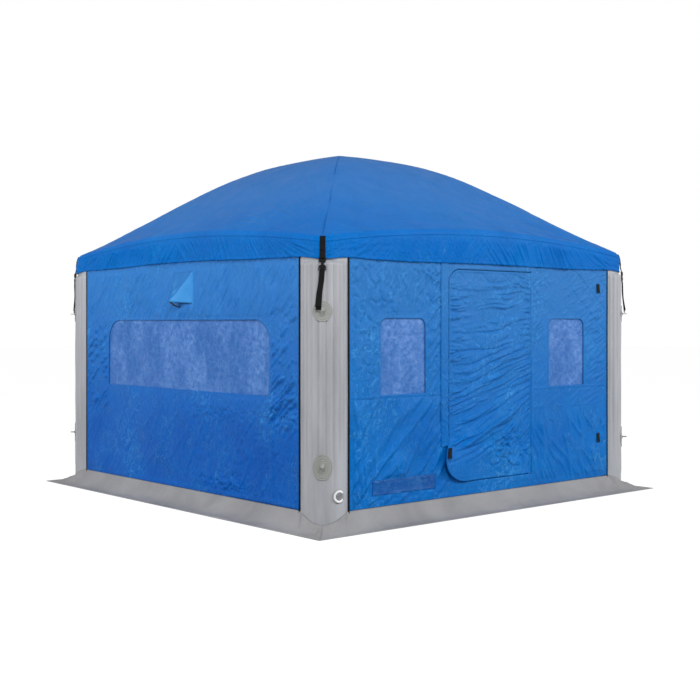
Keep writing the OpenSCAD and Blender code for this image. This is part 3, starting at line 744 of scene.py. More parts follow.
def valance(side, hem_rise, spacing):
    """The strip that hangs from the seam over the walls."""
    along, out, half, distance = SIDES[side]
    long, deep = half + CANOPY_X - HALF_X, distance + CANOPY_X - HALF_X
    straight = long - CANOPY_R
    run_end = straight + CANOPY_R * math.pi / 4
    seed = {"front": 140, "left": 150, "back": 160, "right": 170}[side]

    def seam_and_hem(run):
        k = run / run_end
        lift = 0.012 + 0.012 * ridged(np.abs(run) - 1.58, 0.16)
        hem = HEM + hem_rise * (1 - k * k) + lift * smooth(0.9, 1.4, np.abs(run))
        return SEAM + SEAM_RISE * (1 - k * k), hem

    def relief(run, v):
        seam, hem = seam_and_hem(run)
        down = (seam - v) / (seam - hem)
        h = 0.004 * layered(run / 0.35, v / 0.3, seed, 2) * smooth(0, 0.5, down)
        # fine wrinkles that lean away from the corners, steeper towards the middle
        for sign in (-1, 1):
            slope = 28 + 34 * smooth(1.7, 0.2, np.abs(run))
            lean = np.radians(slope) * -sign
            across = v * np.cos(lean) - run * np.sin(lean) * 0.6
            n = noise(across / 0.030, run / 0.40, seed + 3 + sign)
            part = smooth(-0.25, 0.25, sign * run)
            h += 0.0165 * part * creased(n, 0.5) * smooth(0.0, 0.25, down) * (
                0.45 + 0.55 * smooth(-0.3, 0.4, noise(run / 0.33, v / 0.2, seed + 6)))
        # stitched seam at the top, turned hem at the bottom
        h -= 0.0022 * ridged(seam - v - 0.006, 0.005)
        h += 0.0016 * smooth(0.022, 0.018, v - hem) - 0.0012 * ridged(v - hem - 0.024, 0.004)
        h += 0.0024 * noise(run / 0.018, v / 0.08, seed + 7) * smooth(0.35, 0.0, down)
        mottled = creased(layered(run / 0.075, v / 0.05, seed + 8, 2), 0.3) - 0.6
        h += 0.0030 * mottled * smooth(0.0, 0.2, down) * (0.4 + 0.6 * smooth(0.6, -0.6, run))
        return h * smooth(0.0, 0.010, seam - v) * smooth(0, 0.04, run_end - np.abs(run))

    def at(run, v, h):
        turn = np.clip((np.abs(run) - straight) / CANOPY_R, 0, math.pi / 4)
        x = np.sign(run) * (np.minimum(np.abs(run), straight) + (CANOPY_R + h) * np.sin(turn))
        reach = deep - CANOPY_R + (CANOPY_R + h) * np.cos(turn)
        flat = np.outer(x, along) + np.outer(reach, out)
        flat[:, 2] = v
        return flat

    runs = np.linspace(-run_end, run_end, 161)
    seam, hem = seam_and_hem(runs)
    outline = [(x, z) for x, z in zip(runs, hem)] + [(x, z) for x, z in zip(runs[::-1], seam[::-1])]
    piece = skin(f"{side}_valance_cloth", [outline], spacing, at, relief, 0.003, canopy_cloth, 0.04)
    set_up(piece, SHELTER, "canopy_fabric", f"{side}_valance")
    return piece


FRONT_HEM_RISE = 0.028
SIDE_HEM_RISE = 0.060
for side, spacing in (("front", 0.014), ("left", 0.014), ("back", 0.024), ("right", 0.024)):
    gore(side, spacing)
for side, rise, spacing in (("front", FRONT_HEM_RISE, 0.008), ("left", SIDE_HEM_RISE, 0.008),
                            ("back", SIDE_HEM_RISE, 0.013), ("right", SIDE_HEM_RISE, 0.013)):
    valance(side, rise, spacing)

# ---------- walls ----------

OPENING_LEFT = DOOR_LOW.x - DOOR_GAP
OPENING_RIGHT = 2 * HINGE_X - DOOR_HIGH.x
OPENING_BASE = DOOR_LOW.z - DOOR_GAP
OPENING_TOP = DOOR_HIGH.z + DOOR_GAP
SEAM_LOW, SEAM_HIGH = 0.793, 0.957                # cross seams of the front wall
QUILT_PITCH = 0.16
PANEL_T = 0.006
WALL_NAMES = {"front": "front_wall", "left": "left_panel", "back": "back_panel", "right": "right_panel"}


def window_outline(x, base, width, height, r):
    left, right, top = x - width / 2, x + width / 2, base + height
    return ([(left, base), (right, base)] + arc(right - r, top - r, r, 0, 90, 10)
            + arc(left + r, top - r, r, 90, 180, 10))


windows_low, windows_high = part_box("front_windows")
WINDOW_R = 0.060
WINDOW_W = 0.480
FRONT_WINDOWS = [
    (windows_low.x + WINDOW_W / 2, windows_low.z, WINDOW_W, windows_high.z - windows_low.z, WINDOW_R),
    (windows_high.x - WINDOW_W / 2, windows_low.z, WINDOW_W, windows_high.z - windows_low.z, WINDOW_R),
]
long_low, long_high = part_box("long_windows")
LONG_W, LONG_SHIFT, LONG_R = 2.386, 0.025, 0.180
LONG_WINDOW = (LONG_SHIFT, long_low.z, LONG_W, long_high.z - long_low.z, LONG_R)
VENT_LOW, VENT_HIGH = (corner.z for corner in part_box("vent_screens"))
VENT_W, VENT_SHIFT = 0.250, 0.055
VENT = rectangle(VENT_SHIFT - VENT_W / 2, VENT_LOW, VENT_SHIFT + VENT_W / 2, VENT_HIGH)


def door_shape(grow):
    left, right = DOOR_LOW.x - grow, DOOR_HIGH.x if grow == 0 else OPENING_RIGHT
    base, top = DOOR_LOW.z - grow, DOOR_HIGH.z + grow
    top_r, base_r = DOOR_TOP_R + grow, DOOR_BASE_R + grow
    return ([(right, base), (right, top)] + arc(left + top_r, top - top_r, top_r, 90, 180, 10)
            + arc(left + base_r, base + base_r, base_r, 180, 270, 14))


def under_valance(h, v):
    """Keeps the cloth back where the valance hangs over it."""
    return np.minimum(h, 0.001 + 0.035 * smooth(HEM + 0.006, HEM - 0.060, v))


def quilting(u, v):
    """Stitched diamonds: narrow valleys along two crossed sets of lines."""
    total = 0
    for degrees in (38, -38):
        off = np.abs((across(u, v, degrees) / QUILT_PITCH) % 1 - 0.5) * QUILT_PITCH
        total = total + ridged(QUILT_PITCH / 2 - off, 0.010)
    return -total


def wall_hems(u, v):
    """The sewn edges: tape along the base, and beside the zips."""
    above = v - WALL_BASE
    h = 0.0022 * smooth(0.042, 0.036, above) - 0.0015 * ridged(above - 0.046, 0.005)
    return h + 0.0012 * smooth(0.030, 0.024, WALL_HALF - np.abs(u))


POCKET = (-1.339, 0.225, -0.656, 0.340)           # the clear pocket: left, base, right, top
STRIP_W = 0.085                                   # the storm strip that covers the door's zip
STRIP_BASE = 0.545
TABS_LOW, TABS_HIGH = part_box("wall_tabs")
TAB_H = 0.080


def flat_under(u, v, left, base, right, top):
    """0 under something laid on the cloth, 1 away from it."""
    du = np.maximum(np.maximum(left - u, u - right), 0)
    dv = np.maximum(np.maximum(base - v, v - top), 0)
    return smooth(0.0, 0.035, np.hypot(du, dv))


def held_edges(u, v, openings):
    """0 where the cloth is held, 1 where it is free."""
    free = smooth(0.0, 0.05, WALL_HALF - np.abs(u)) * smooth(0.0, 0.07, v - WALL_BASE)
    for x, base, width, height, _ in openings:
        du = np.maximum(np.abs(u - x) - width / 2, 0)
        dv = np.maximum(np.maximum(base - v, v - base - height), 0)
        free = free * (0.25 + 0.75 * smooth(0.0, 0.06, np.hypot(du, dv)))
    return free


def front_relief(u, v):
    """Outward shape of the front wall's cloth."""
    h = 0.0035 * layered(u / 0.55, v / 0.6, 201, 2)
    left = smooth(-0.50, -0.62, u)
    right = smooth(0.50, 0.56, u)
    # left of the door: pleats under the hem, a fan beside the storm strip, broad folds below
    h += 0.0022 * noise(u / 0.035, v / 0.8, 202) * near(u, v, -1.38, 1.90, 0.26, 0.42) * left
    fan = creased(slant(u, v, 44, 0.050, u / 0.30, 203), 0.35) - 0.6
    h += 0.0055 * fan * smooth(-0.86, -0.62, u) * left * smooth(0.4, 0.8, v)
    fan = creased(slant(u, v, 58, 0.060, v / 0.45, 204), 0.4)
    h += 0.0040 * fan * near(u, v, -1.40, 0.95, 0.22, 0.35) * left
    # broad folds that climb to the right under the left window
    low_left = left * smooth(0.99, 0.86, v)
    h += 0.0085 * low_left * (ridged(slant(u, v, 50, 0.115, (u + v) / 1.1, 206), 0.30) - 0.3)
    h += 0.0032 * low_left * slant(u, v, 58, 0.034, (u + v) / 0.5, 207)
    steep = creased(noise((u + 0.18 * v) / 0.045, v / 0.6, 208), 0.4) - 0.5
    h += 0.0042 * left * smooth(1.15, 0.9, v) * smooth(-1.25, -1.42, u) * steep
    # folds that sag from the hem to the storm strip, and under the window's upper corners
    for height, width, points in (
            (-0.0060, 0.012, [(-0.86, 1.99), (-0.76, 1.93), (-0.68, 1.885), (-0.60, 1.87)]),
            (0.0055, 0.016, [(-0.84, 1.96), (-0.74, 1.905), (-0.66, 1.86), (-0.59, 1.84)]),
            (-0.0050, 0.014, [(-1.05, 1.60), (-0.88, 1.585), (-0.74, 1.63), (-0.62, 1.70)]),
            (-0.0040, 0.010, [(-1.44, 1.60), (-1.36, 1.54), (-1.24, 1.49)])):
        h += height * line_fold(u, v, points, width)
    upper = creased(slant(u, v, 66, 0.040, (u + v) / 0.35, 213), 0.35) - 0.5
    h += 0.0030 * left * smooth(1.45, 1.6, v) * upper
    h += 0.0028 * left * smooth(1.0, 1.2, v) * creased(layered(u / 0.11, v / 0.12, 214, 2), 0.22)
    # right of the door: quilting above, smooth below
    h += 0.0028 * right * quilting(u, v) * smooth(1.25, 1.5, v)
    upper = creased(slant(u, v, 20, 0.045, u / 0.22, 215), 0.35) - 0.5
    h += 0.0030 * right * smooth(1.30, 1.5, v) * upper
    short = creased(slant(u, v, 28, 0.040, u / 0.20, 209), 0.3) - 0.6
    near_window = near(u, v, 0.62, 1.35, 0.16, 0.40) + near(u, v, 1.40, 1.25, 0.16, 0.45)
    h += 0.0052 * right * short * np.clip(near_window, 0, 1)
    upright = creased(noise(u / 0.07, v / 0.30, 210), 0.35) - 0.5
    h += 0.0030 * right * upright * near(u, v, 0.62, 0.62, 0.12, 0.35)
    level = creased(slant(u, v, 28, 0.05, u / 0.25, 211), 0.3) - 0.5
    h += 0.0035 * right * level * near(u, v, 0.95, 0.87, 0.30, 0.09)
    h += 0.0022 * right * noise(u / 0.09, v / 0.9, 212) * smooth(0.9, 0.6, v)
    falling = ridged(slant(u, v, -58, 0.09, (u - v) / 0.5, 216), 0.16)
    h += 0.0030 * right * smooth(0.78, 0.66, v) * falling
    # cross seams
    for seam, reach in ((SEAM_HIGH, left + right), (SEAM_LOW, right * smooth(1.35, 1.2, u))):
        h += reach * (0.0018 * ridged(v - seam - 0.006, 0.005) - 0.0022 * ridged(v - seam + 0.004, 0.004))
    # held at its edges and openings, and flat under what is sewn on it
    h *= 3.0 * held_edges(u, v, FRONT_WINDOWS)
    h *= flat_under(u, v, *POCKET)
    for base in (TABS_LOW.z, TABS_HIGH.z - TAB_H):
        h *= flat_under(u, v, TABS_LOW.x, base, TABS_HIGH.x, base + TAB_H)
    h *= 0.15 + 0.85 * flat_under(u, v, OPENING_LEFT - STRIP_W, STRIP_BASE, OPENING_LEFT, 2.2)
    return under_valance(h, v) + window_hems(u, v, FRONT_WINDOWS) + wall_hems(u, v)


def window_hems(u, v, openings):
    """A sewn binding round each window, sunk at its stitch line."""
    h = 0
    for x, base, width, height, _ in openings:
        du = np.abs(u - x) - width / 2
        dv = np.maximum(base - v, v - base - height)
        round_corner = np.hypot(np.maximum(du, 0), np.maximum(dv, 0))
        gap = np.where((du > 0) & (dv > 0), round_corner, np.maximum(du, dv))
        h = h + 0.0014 * smooth(0.018, 0.014, gap) - 0.0012 * ridged(gap - 0.021, 0.004)
    return h


def long_wall_relief(seed, strength):
    """Outward shape of a wall with a long window."""
    window_l, window_r = LONG_SHIFT - LONG_W / 2, LONG_SHIFT + LONG_W / 2

    def relief(u, v):
        h = 0.005 * layered(u / 0.8, v / 0.6, seed, 2)
        above = smooth(1.48, 1.60, v)
        below = smooth(0.98, 0.90, v)
        beside = smooth(window_l + 0.02, window_l - 0.06, u) + smooth(window_r - 0.02, window_r + 0.06, u)
        # streaks that lean to the right above the window, and ticks under the hem
        lean = creased(slant(u, v, 62, 0.045, (u + v) / 0.45, seed + 1), 0.4) - 0.4
        patchy = smooth(-0.2, 0.45, noise(u / 0.45, v / 0.35, seed + 2))
        h += 0.0052 * above * patchy * lean
        h += 0.0040 * above * ridged(slant(u, v, 57, 0.085, (u + v) / 0.6, seed + 9), 0.16)
        h += 0.0022 * noise(u / 0.022 + 2 * v, v / 0.2, seed + 3) * smooth(1.86, 1.98, v)
        # crumples beside the window
        crumple = creased(slant(u, v, 40, 0.050, u / 0.22, seed + 4), 0.3)
        mixed = creased(noise(u / 0.09, v / 0.07, seed + 5), 0.3)
        level = smooth(0.62, 0.85, v) * smooth(1.75, 1.45, v)
        h += 0.0125 * beside * level * (crumple + 0.6 * mixed - 0.9)
        # below: long faint diagonals and small crinkles, crumpled by the base tape
        h += 0.0014 * below * ridged(slant(u, v, 52, 0.17, (u + v) / 1.2, seed + 6), 0.10)
        small = creased(layered(u / 0.075, v / 0.10, seed + 7, 2), 0.3)
        h += 0.0022 * below * small * smooth(-0.8, 0.6, u)
        knot = near(u, v, 0.62, 0.24, 0.38, 0.07) + 0.7 * near(u, v, 0.55, 0.80, 0.45, 0.07)
        h += 0.0075 * knot * (ridged(layered(u / 0.085, v / 0.05, seed + 8, 2), 0.30) - 0.25)
        # folded lines left by packing
        for x, low, high in ((-1.276, 1.20, 2.00), (-0.836, 1.60, 2.00), (1.256, 0.15, 0.95)):
            reach = smooth(low, low + 0.08, v) * smooth(high, high - 0.08, v)
            h += 0.0030 * ridged(u - x, 0.006) * reach
        h *= held_edges(u, v, [LONG_WINDOW]) * strength
        gap = np.maximum(np.abs(u - VENT_SHIFT) - VENT_W / 2, np.maximum(VENT_LOW - v, v - VENT_HIGH))
        h *= smooth(0.0, 0.04, gap)
        h += 0.0012 * smooth(0.028, 0.024, gap) * smooth(-0.002, 0.0, gap)
        h -= 0.0010 * ridged(gap - 0.030, 0.003)
        return under_valance(h, v) + wall_hems(u, v) + window_hems(u, v, [LONG_WINDOW])

    return relief


def wall_outline():
    xs = np.linspace(WALL_HALF, -WALL_HALF, 25)
    top = [(x, WALL_TOP + WALL_RISE * (1 - (x / WALL_HALF) ** 2)) for x in xs]
    return [(-WALL_HALF, WALL_BASE), (WALL_HALF, WALL_BASE)] + top


def shape_area(outline):
    xs, ys = np.array(outline).T
    return abs(float(np.sum(xs * np.roll(ys, -1) - np.roll(xs, -1) * ys))) / 2


def walls():
    """The four walls: each a sheet with its openings cut through."""
    front_holes = [door_shape(DOOR_GAP)] + [window_outline(*window) for window in FRONT_WINDOWS]
    long_holes = [window_outline(*LONG_WINDOW), VENT]
    front_nodes = ("front_wall_left", "front_wall_right", "door_header", "door_threshold")
    # spacings are fine on the sides that the photo shows
    # the long walls take the darker side cloth, which is painted shade
    for side, holes, spacing, relief, cloth, nodes in (
            ("front", front_holes, 0.0102, front_relief, wall_cloth, front_nodes),
            ("left", long_holes, 0.0108, long_wall_relief(230, 2.5), shaded_side_cloth, ["left_wall"]),
            ("right", long_holes, 0.018, long_wall_relief(250, 1.6), shaded_side_cloth, ["right_wall"]),
            ("back", long_holes, 0.018, long_wall_relief(270, 1.6), shaded_side_cloth, ["back_wall"])):
        loops = [wall_outline()] + holes
        piece = skin(WALL_NAMES[side], loops, spacing, side_place(side), relief, PANEL_T, cloth)
        set_up(piece, SHELTER, "wall_fabric", *nodes)
        area = shape_area(wall_outline()) - sum(shape_area(hole) for hole in holes)


def panes():
    """Clear films behind the windows, with their edges under the cloth."""
    lap = 0.012
    front_left, front_right = FRONT_WINDOWS
    for name, side, opening, spacing, nodes in (
            ("front_window_left", "front", front_left, 0.011, ["front_windows"]),
            ("front_window_right", "front", front_right, 0.011, []),
            ("left_window", "left", LONG_WINDOW, 0.014, ["long_windows"]),
            ("right_window", "right", LONG_WINDOW, 0.020, []),
            ("back_window", "back", LONG_WINDOW, 0.020, [])):
        x, base, width, height, r = opening
        outline = window_outline(x, base - lap, width + 2 * lap, height + 2 * lap, r)

        def relief(u, v):
            slanted = creased(slant(u, v, 48, 0.10, (u + v) / 0.5, 301), 0.3) - 0.5
            gap = np.minimum(width / 2 - np.abs(u - x), np.minimum(v - base, base + height - v))
            return (0.0045 * slanted + 0.0035 * layered(u / 0.13, v / 0.10, 302)) * smooth(0.0, 0.05, gap)

        piece = skin(name, [outline], spacing, side_place(side, -0.0075), relief, 0.001, window_film, 0.05)
        set_up(piece, SHELTER, "window_vinyl", *nodes)
        shape_area(outline)


walls()
panes()

# ---------- the door ----------

DOOR_T = 0.009
FLARE = 0.045                                     # how far the loose corner stands out


def door_relief(u, v):
    """Outward shape of the door: creases that fan from its zip and climb to the right."""
    x = (u - DOOR_LOW.x) / (DOOR_HIGH.x - DOOR_LOW.x)
    z = v - DOOR_LOW.z
    h = 0.004 * layered(u / 0.4, v / 0.5, 401, 2)
    # the creases' own lines: level at the zip, steeper to the right and lower down
    climb = 0.04 + 0.52 * smooth(1.55, 0.45, z)
    level = z - climb * (0.30 * x + 0.55 * x * x)
    warp = 0.020 * noise(u / 0.25, v / 0.25, 402)
    long_folds = noise(x / 0.85, (level + warp) / 0.085, 403)
    fine_folds = noise(x / 0.50, (level + 1.6 * warp) / 0.042, 404)
    lively = smooth(-0.5, 0.25, noise(x / 0.5, level / 0.4, 405))
    body = smooth(0.12, 0.26, z) * smooth(1.66, 1.52, z)
    h += 0.0085 * body * (creased(long_folds, 0.20) - 0.75) * (0.55 + 0.45 * lively)
    h += 0.0046 * body * (creased(fine_folds, 0.28) - 0.7) * lively
    # short gathers beside the zip
    gathers = noise(x / 0.16, level / 0.030, 406)
    h += 0.0060 * body * (creased(gathers, 0.35) - 0.6) * smooth(0.32, 0.02, x)
    # long slack folds to the hinge, and crumples in the lower right
    for height, width, fade, points in (
            (-0.0080, 0.010, 0.15, [(-0.12, 0.90), (0.10, 0.955), (0.30, 0.985), (0.49, 1.005)]),
            (-0.0090, 0.014, 0.12, [(0.0, 0.64), (0.18, 0.68), (0.34, 0.72), (0.49, 0.86)]),
            (0.0090, 0.030, 0.20, [(-0.42, 0.50), (-0.10, 0.64), (0.20, 0.76), (0.44, 0.88)])):
        h += height * line_fold(u, v, points, width, fade)
    crumple = creased(layered(u / 0.16, v / 0.10, 407, 2), 0.25) - 0.7
    h += 0.0110 * crumple * near(u, v, 0.22, 0.47, 0.24, 0.13)
    # creases that hang from the upper hinge corner
    hung = creased(slant(u, v, -24, 0.035, u / 0.2, 408), 0.3) - 0.6
    h += 0.0060 * hung * near(u, v, 0.36, 1.86, 0.16, 0.06)
    # quilting stitches show faintly, and the cross seam
    h += 0.0010 * quilting(u, v) * smooth(1.0, 1.3, v)
    h -= 0.0020 * ridged(v - SEAM_LOW, 0.004) * smooth(-0.1, 0.1, u)
    edge = np.minimum(np.minimum(u - DOOR_LOW.x, DOOR_HIGH.x - u), DOOR_HIGH.z - v)
    h *= 3.1 * smooth(0.0, 0.035, edge) * smooth(0.0, 0.05, z)
    # a turned hem all round
    rim = np.minimum(edge, z)
    h += 0.0016 * smooth(0.020, 0.016, rim) - 0.0016 * ridged(rim - 0.023, 0.004)
    return h + 0.002


def loose_corner(u, v):
    """How much of the lower free corner is unzipped and stands out."""
    return smooth(0.62, 0.42, v) * smooth(DOOR_LOW.x + 0.42, DOOR_LOW.x + 0.02, u)


def door_place(u, v, h):
    loose = loose_corner(u, v)
    out = h + FLARE * loose * (0.6 + 0.4 * smooth(DOOR_LOW.x + 0.2, DOOR_LOW.x, u))
    return side_place("front")(u - 0.075 * loose * smooth(DOOR_LOW.x + 0.25, DOOR_LOW.x, u), v, out)


def door():
    outline = door_shape(0)
    piece = skin("door_flap", [outline], 0.0082, door_place, door_relief, DOOR_T, wall_cloth)
    set_up(piece, DOOR, "wall_fabric", "door_panel")
    shape_area(outline)


def storm_strip():
    """A gathered strip on the wall that covers the door's zip, from the hem to the loose corner."""
    left, right = OPENING_LEFT - STRIP_W - 0.004, OPENING_LEFT - 0.002
    top = WALL_TOP + WALL_RISE * 0.8

    def relief(u, v):
        x = (u - left) / (right - left)
        from_middle = np.abs(2 * x - 1)
        crown = 0.0075 * np.sqrt(np.clip(1 - from_middle ** 2, 0, 1))
        ticks = noise(v / 0.022 + 2.5 * x, x * 1.5, 421) * np.clip(smooth(1.45, 0.95, v) + 0.25, 0, 1)
        return crown + 0.0040 * ticks * (from_middle + 0.35) + 0.002 * noise(v / 0.12, x, 422)

    piece = skin("storm_strip", [rectangle(left, STRIP_BASE, right, top)], 0.0065,
                 side_place("front", 0.004), relief, 0.003, wall_cloth)
    set_up(piece, SHELTER, "wall_fabric")


def clear_pocket():
    """A strip of clear film stitched low on the front wall."""
    left, base, right, top = POCKET

    def relief(u, v):
        edge = np.minimum(np.minimum(u - left, right - u), np.minimum(v - base, top - v))
        crinkle = layered(u / 0.045, v / 0.035, 431)
        bright = 0.9 * near(u, v, -0.76, 0.31, 0.14, 0.05) + 0.4 * near(u, v, -1.26, 0.30, 0.08, 0.04)
        return 0.0055 * crinkle * (0.35 + bright) * smooth(0, 0.012, edge) + 0.003 * smooth(0, 0.03, edge)

    piece = skin("clear_pocket", [rectangle(*POCKET)], 0.006, side_place("front", 0.0035), relief, 0.001,
                 pocket_film)
    set_up(piece, SHELTER, "window_vinyl")


def door_facing():
    """A band of cloth behind the door's gap, on all sides but the hinge's."""
    def run(grow):
        shape = door_shape(grow)[1:]
        return [(HINGE_X - 0.011, shape[0][1])] + shape[1:] + [(HINGE_X - 0.011, shape[-1][1])]

    def flat(u, v):
        return 0.0 * u

    piece = skin("door_facing", [run(0.018) + run(-0.022)[::-1]], 0.012, side_place("front", -0.0115), flat,
                 0.0015, wall_cloth, 0.03)
    set_up(piece, SHELTER, "wall_fabric")


def hinge_roll():
    """The rolled edge that the door is sewn to, round the line it swings on."""
    x, y, _ = frame["joints"][0]["pos_m"]
    levels = np.linspace(OPENING_BASE + 0.001, OPENING_TOP - 0.001, 120)
    zz, tt = np.meshgrid(levels, around(12), indexing="ij")
    r = 0.0058 + 0.0004 * noise(zz / 0.05, np.cos(tt), 441)
    piece = ringed("hinge_roll", np.stack([x + r * np.cos(tt), y + r * np.sin(tt), zz], -1), wall_cloth)
    set_up(piece, SHELTER, "wall_fabric")


door()
storm_strip()
clear_pocket()
door_facing()
hinge_roll()

# ---------- inflated frame ----------

RIBS = 9
RIB_H = 0.0140
HIP_BEAM_R = 0.052
BEAM_UNDER_ROOF = 0.012


def corner_place(corner, shift=0.0):
    """Places points by angle, radius and height round the corner of a column's flats,
    or round an axis shifted outwards from it."""
    sx, sy = CORNERS[corner]
    reach = shift * math.sqrt(0.5) - COLUMN_R
    axis_x, axis_y = sx * (HALF_X + reach), sy * (HALF_Y + reach)

    def place(turn, r, z):
        angle = math.atan2(sy, sx) + turn
        x, y = axis_x + r * np.cos(angle), axis_y + r * np.sin(angle)
        return np.stack(np.broadcast_arrays(x, y, z), -1)

    return place


def column(corner):
    """A tube that bulges past the walls: soft ribs that fade at its foot, drawn in under the canopy."""
    place = corner_place(corner)
    seed = 500 + 10 * list(CORNERS).index(corner)
    top = COLUMN_TOP + 0.035
    z = np.concatenate([[0, 0.004, 0.012], np.linspace(0.03, HEM - 0.04, 62),
                        np.linspace(HEM - 0.035, top - 0.012, 10), [top - 0.004, top]])
    zz, ss = np.meshgrid(z, np.linspace(0, 1, 91), indexing="ij")
    turn = (2 * ss - 1) * TUBE_HALF
    rib = np.abs(np.sin(math.pi * RIBS * ss)) ** 0.55
    strength = smooth(0.15, 0.75, zz) * (0.75 + 0.25 * noise(zz / 0.8, ss * 5, seed))
    tuck = 0.010 * (smooth(0.03, 0.0, zz) + smooth(top - 0.03, top, zz))
    r = TUBE_R - 0.0005 - tuck
    r = r - RIB_H * strength * (1 - rib) * smooth(0.0, 0.03, ss) * smooth(1.0, 0.97, ss)
    r = r + 0.0026 * noise(zz / 0.30, ss * 4, seed + 1) * smooth(0, 0.05, zz)
    r = r + 0.0040 * smooth(0.34, 0.05, zz) * noise(zz / 0.09 + ss * 2, ss * 6, seed + 2)

    def by_walls(a, b, less=0.0):
        """Points by their outward distances along the two walls."""
        return place(np.arctan2(b, a) - math.pi / 4, np.hypot(a, b) - less, zz)

    # held inside the canopy above its hem
    a, b = (TUBE_OUT * math.sqrt(0.5) + r * np.cos(turn + side * math.pi / 4) for side in (1, -1))
    bend = CANOPY_R - 0.008
    middle = COLUMN_R + CANOPY_X - HALF_X - CANOPY_T - 0.004 - bend
    past_a, past_b = np.maximum(a - middle, 0), np.maximum(b - middle, 0)
    kept = np.minimum(1, bend / np.maximum(np.hypot(past_a, past_b), 0.001))
    squeeze = (1 - kept) * smooth(HEM - 0.022, HEM + 0.008, zz)
    outer = by_walls(a - past_a * squeeze, b - past_b * squeeze)
    # the flats that the walls and beams end at meet in a soft corner
    way = 1 - 2 * ss
    soft = np.sqrt(way * way + 0.0144)
    a, b = (0.003 + (COLUMN_R - 0.003) * (soft + lean) / 2 / 1.0036 for lean in (way, -way))
    piece = grid_shell(f"{corner}_air_column", outer, by_walls(a, b, tuck), column_vinyl)
    set_up(piece, SHELTER, "inflated_vinyl", f"{corner}_column")


def hip_line():
    """Centre line of a hip beam, as distance from the middle and height."""
    t = np.linspace(0.11, FOLD_SHARE * 0.94, 40)
    scale, height, lean = roof_profile(t, np.ones(len(t)))
    under = CANOPY_T + BEAM_UNDER_ROOF + HIP_BEAM_R
    run = scale * math.hypot(CANOPY_X - CANOPY_CUT, CANOPY_Y - CANOPY_CUT) - under * np.sin(lean)
    rise = height - under * np.cos(lean)
    # down into the head of its column
    foot = math.hypot(HALF_X - COLUMN_R, HALF_Y - COLUMN_R) + COLUMN_R - COLUMN_T / 2
    k = np.linspace(0.1, 1, 10)
    bend = 0.07
    down = bezier((run[-1], run[-1] + bend, foot, foot), k)
    fall = bezier((rise[-1], rise[-1] - bend * HIP_FALL, COLUMN_TOP + bend, COLUMN_TOP), k)
    return np.concatenate([run, down]), np.concatenate([rise, fall])


def beam_ripple(seed, depth=0.0018):
    """Soft rings and ripples, as on any air beam."""
    def ripple(rows, turns):
        s = np.arange(rows)[:, None] * 0.35
        return depth * noise(s, np.cos(turns)[None, :] * 2 + np.sin(turns)[None, :], seed) - 0.0012
    return ripple


def hip_beams():
    run, rise = hip_line()
    for i, (corner, (sx, sy)) in enumerate(CORNERS.items()):
        turn = math.atan2(sy * HALF_Y, sx * HALF_X)
        line = np.stack([run * math.cos(turn), run * math.sin(turn), rise], -1)
        piece = tube(f"{corner}_roof_beam", line, HIP_BEAM_R, column_vinyl, 24, beam_ripple(560 + i))
        set_up(piece, SHELTER, "inflated_vinyl", f"{corner}_hip_beam")


def eave_beams():
    """Beams along the eaves, each on the arc that its box shows."""
    for i, (side, (along, out, _, _)) in enumerate(SIDES.items()):
        low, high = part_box(f"{side}_eave_beam")
        size, middle = high - low, (low + high) / 2
        long, deep = (size.x, size.y) if along[0] else (size.y, size.x)
        radius, half = deep / 2, long / 2
        rise = size.z - deep
        big = (half * half + rise * rise) / (2 * rise)
        x = np.linspace(-half, half, 60)
        line = np.outer(x, along) + np.array([middle.x * abs(out[0]), middle.y * abs(out[1]), 0])
        line[:, 2] = low.z + radius + rise - big + np.sqrt(big * big - x * x)
        piece = tube(f"{side}_eave_air_beam", line, radius - 0.0015, column_vinyl, 20, beam_ripple(570 + i))
        set_up(piece, SHELTER, "inflated_vinyl", f"{side}_eave_beam")


def crown_pad():
    """The pillow where the hip beams meet: flat top and bottom, bulged sides."""
    low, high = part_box("crown_hub")
    flat, sides = 0.150, 72
    top = high.z - 0.034                             # the cloth over it is drawn down a little
    middle, half = (low.z + top) / 2, (top - low.z) / 2 - 0.002
    turns = around(sides)
    facing = np.maximum(np.abs(np.cos(turns - math.pi / 4)), np.abs(np.sin(turns - math.pi / 4)))
    reach = np.minimum(flat / facing, high.x - 0.004)
    bulge = [(1 - 0.10 * abs(level) ** 3, level) for level in np.linspace(-1, 1, 13)]
    rings = []
    for share, level in [(0.0, -1), (0.5, -1)] + bulge + [(0.5, 1), (0.0, 1)]:
        r = np.maximum(share * reach, 0.0005)
        z = np.full(sides, middle + level * half)
        rings.append(np.stack([r * np.cos(turns), r * np.sin(turns), z], -1))
    set_up(ringed("crown_pad", np.array(rings), column_vinyl), SHELTER, "inflated_vinyl", "crown_hub")


for corner in CORNERS:
    column(corner)
hip_beams()
eave_beams()
crown_pad()

# ---------- snow skirt ----------

SKIRT_REACH = -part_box("front_skirt")[0].y - HALF_Y
SKIRT_CORNER_H = 0.060
SKIRT_T = 0.003


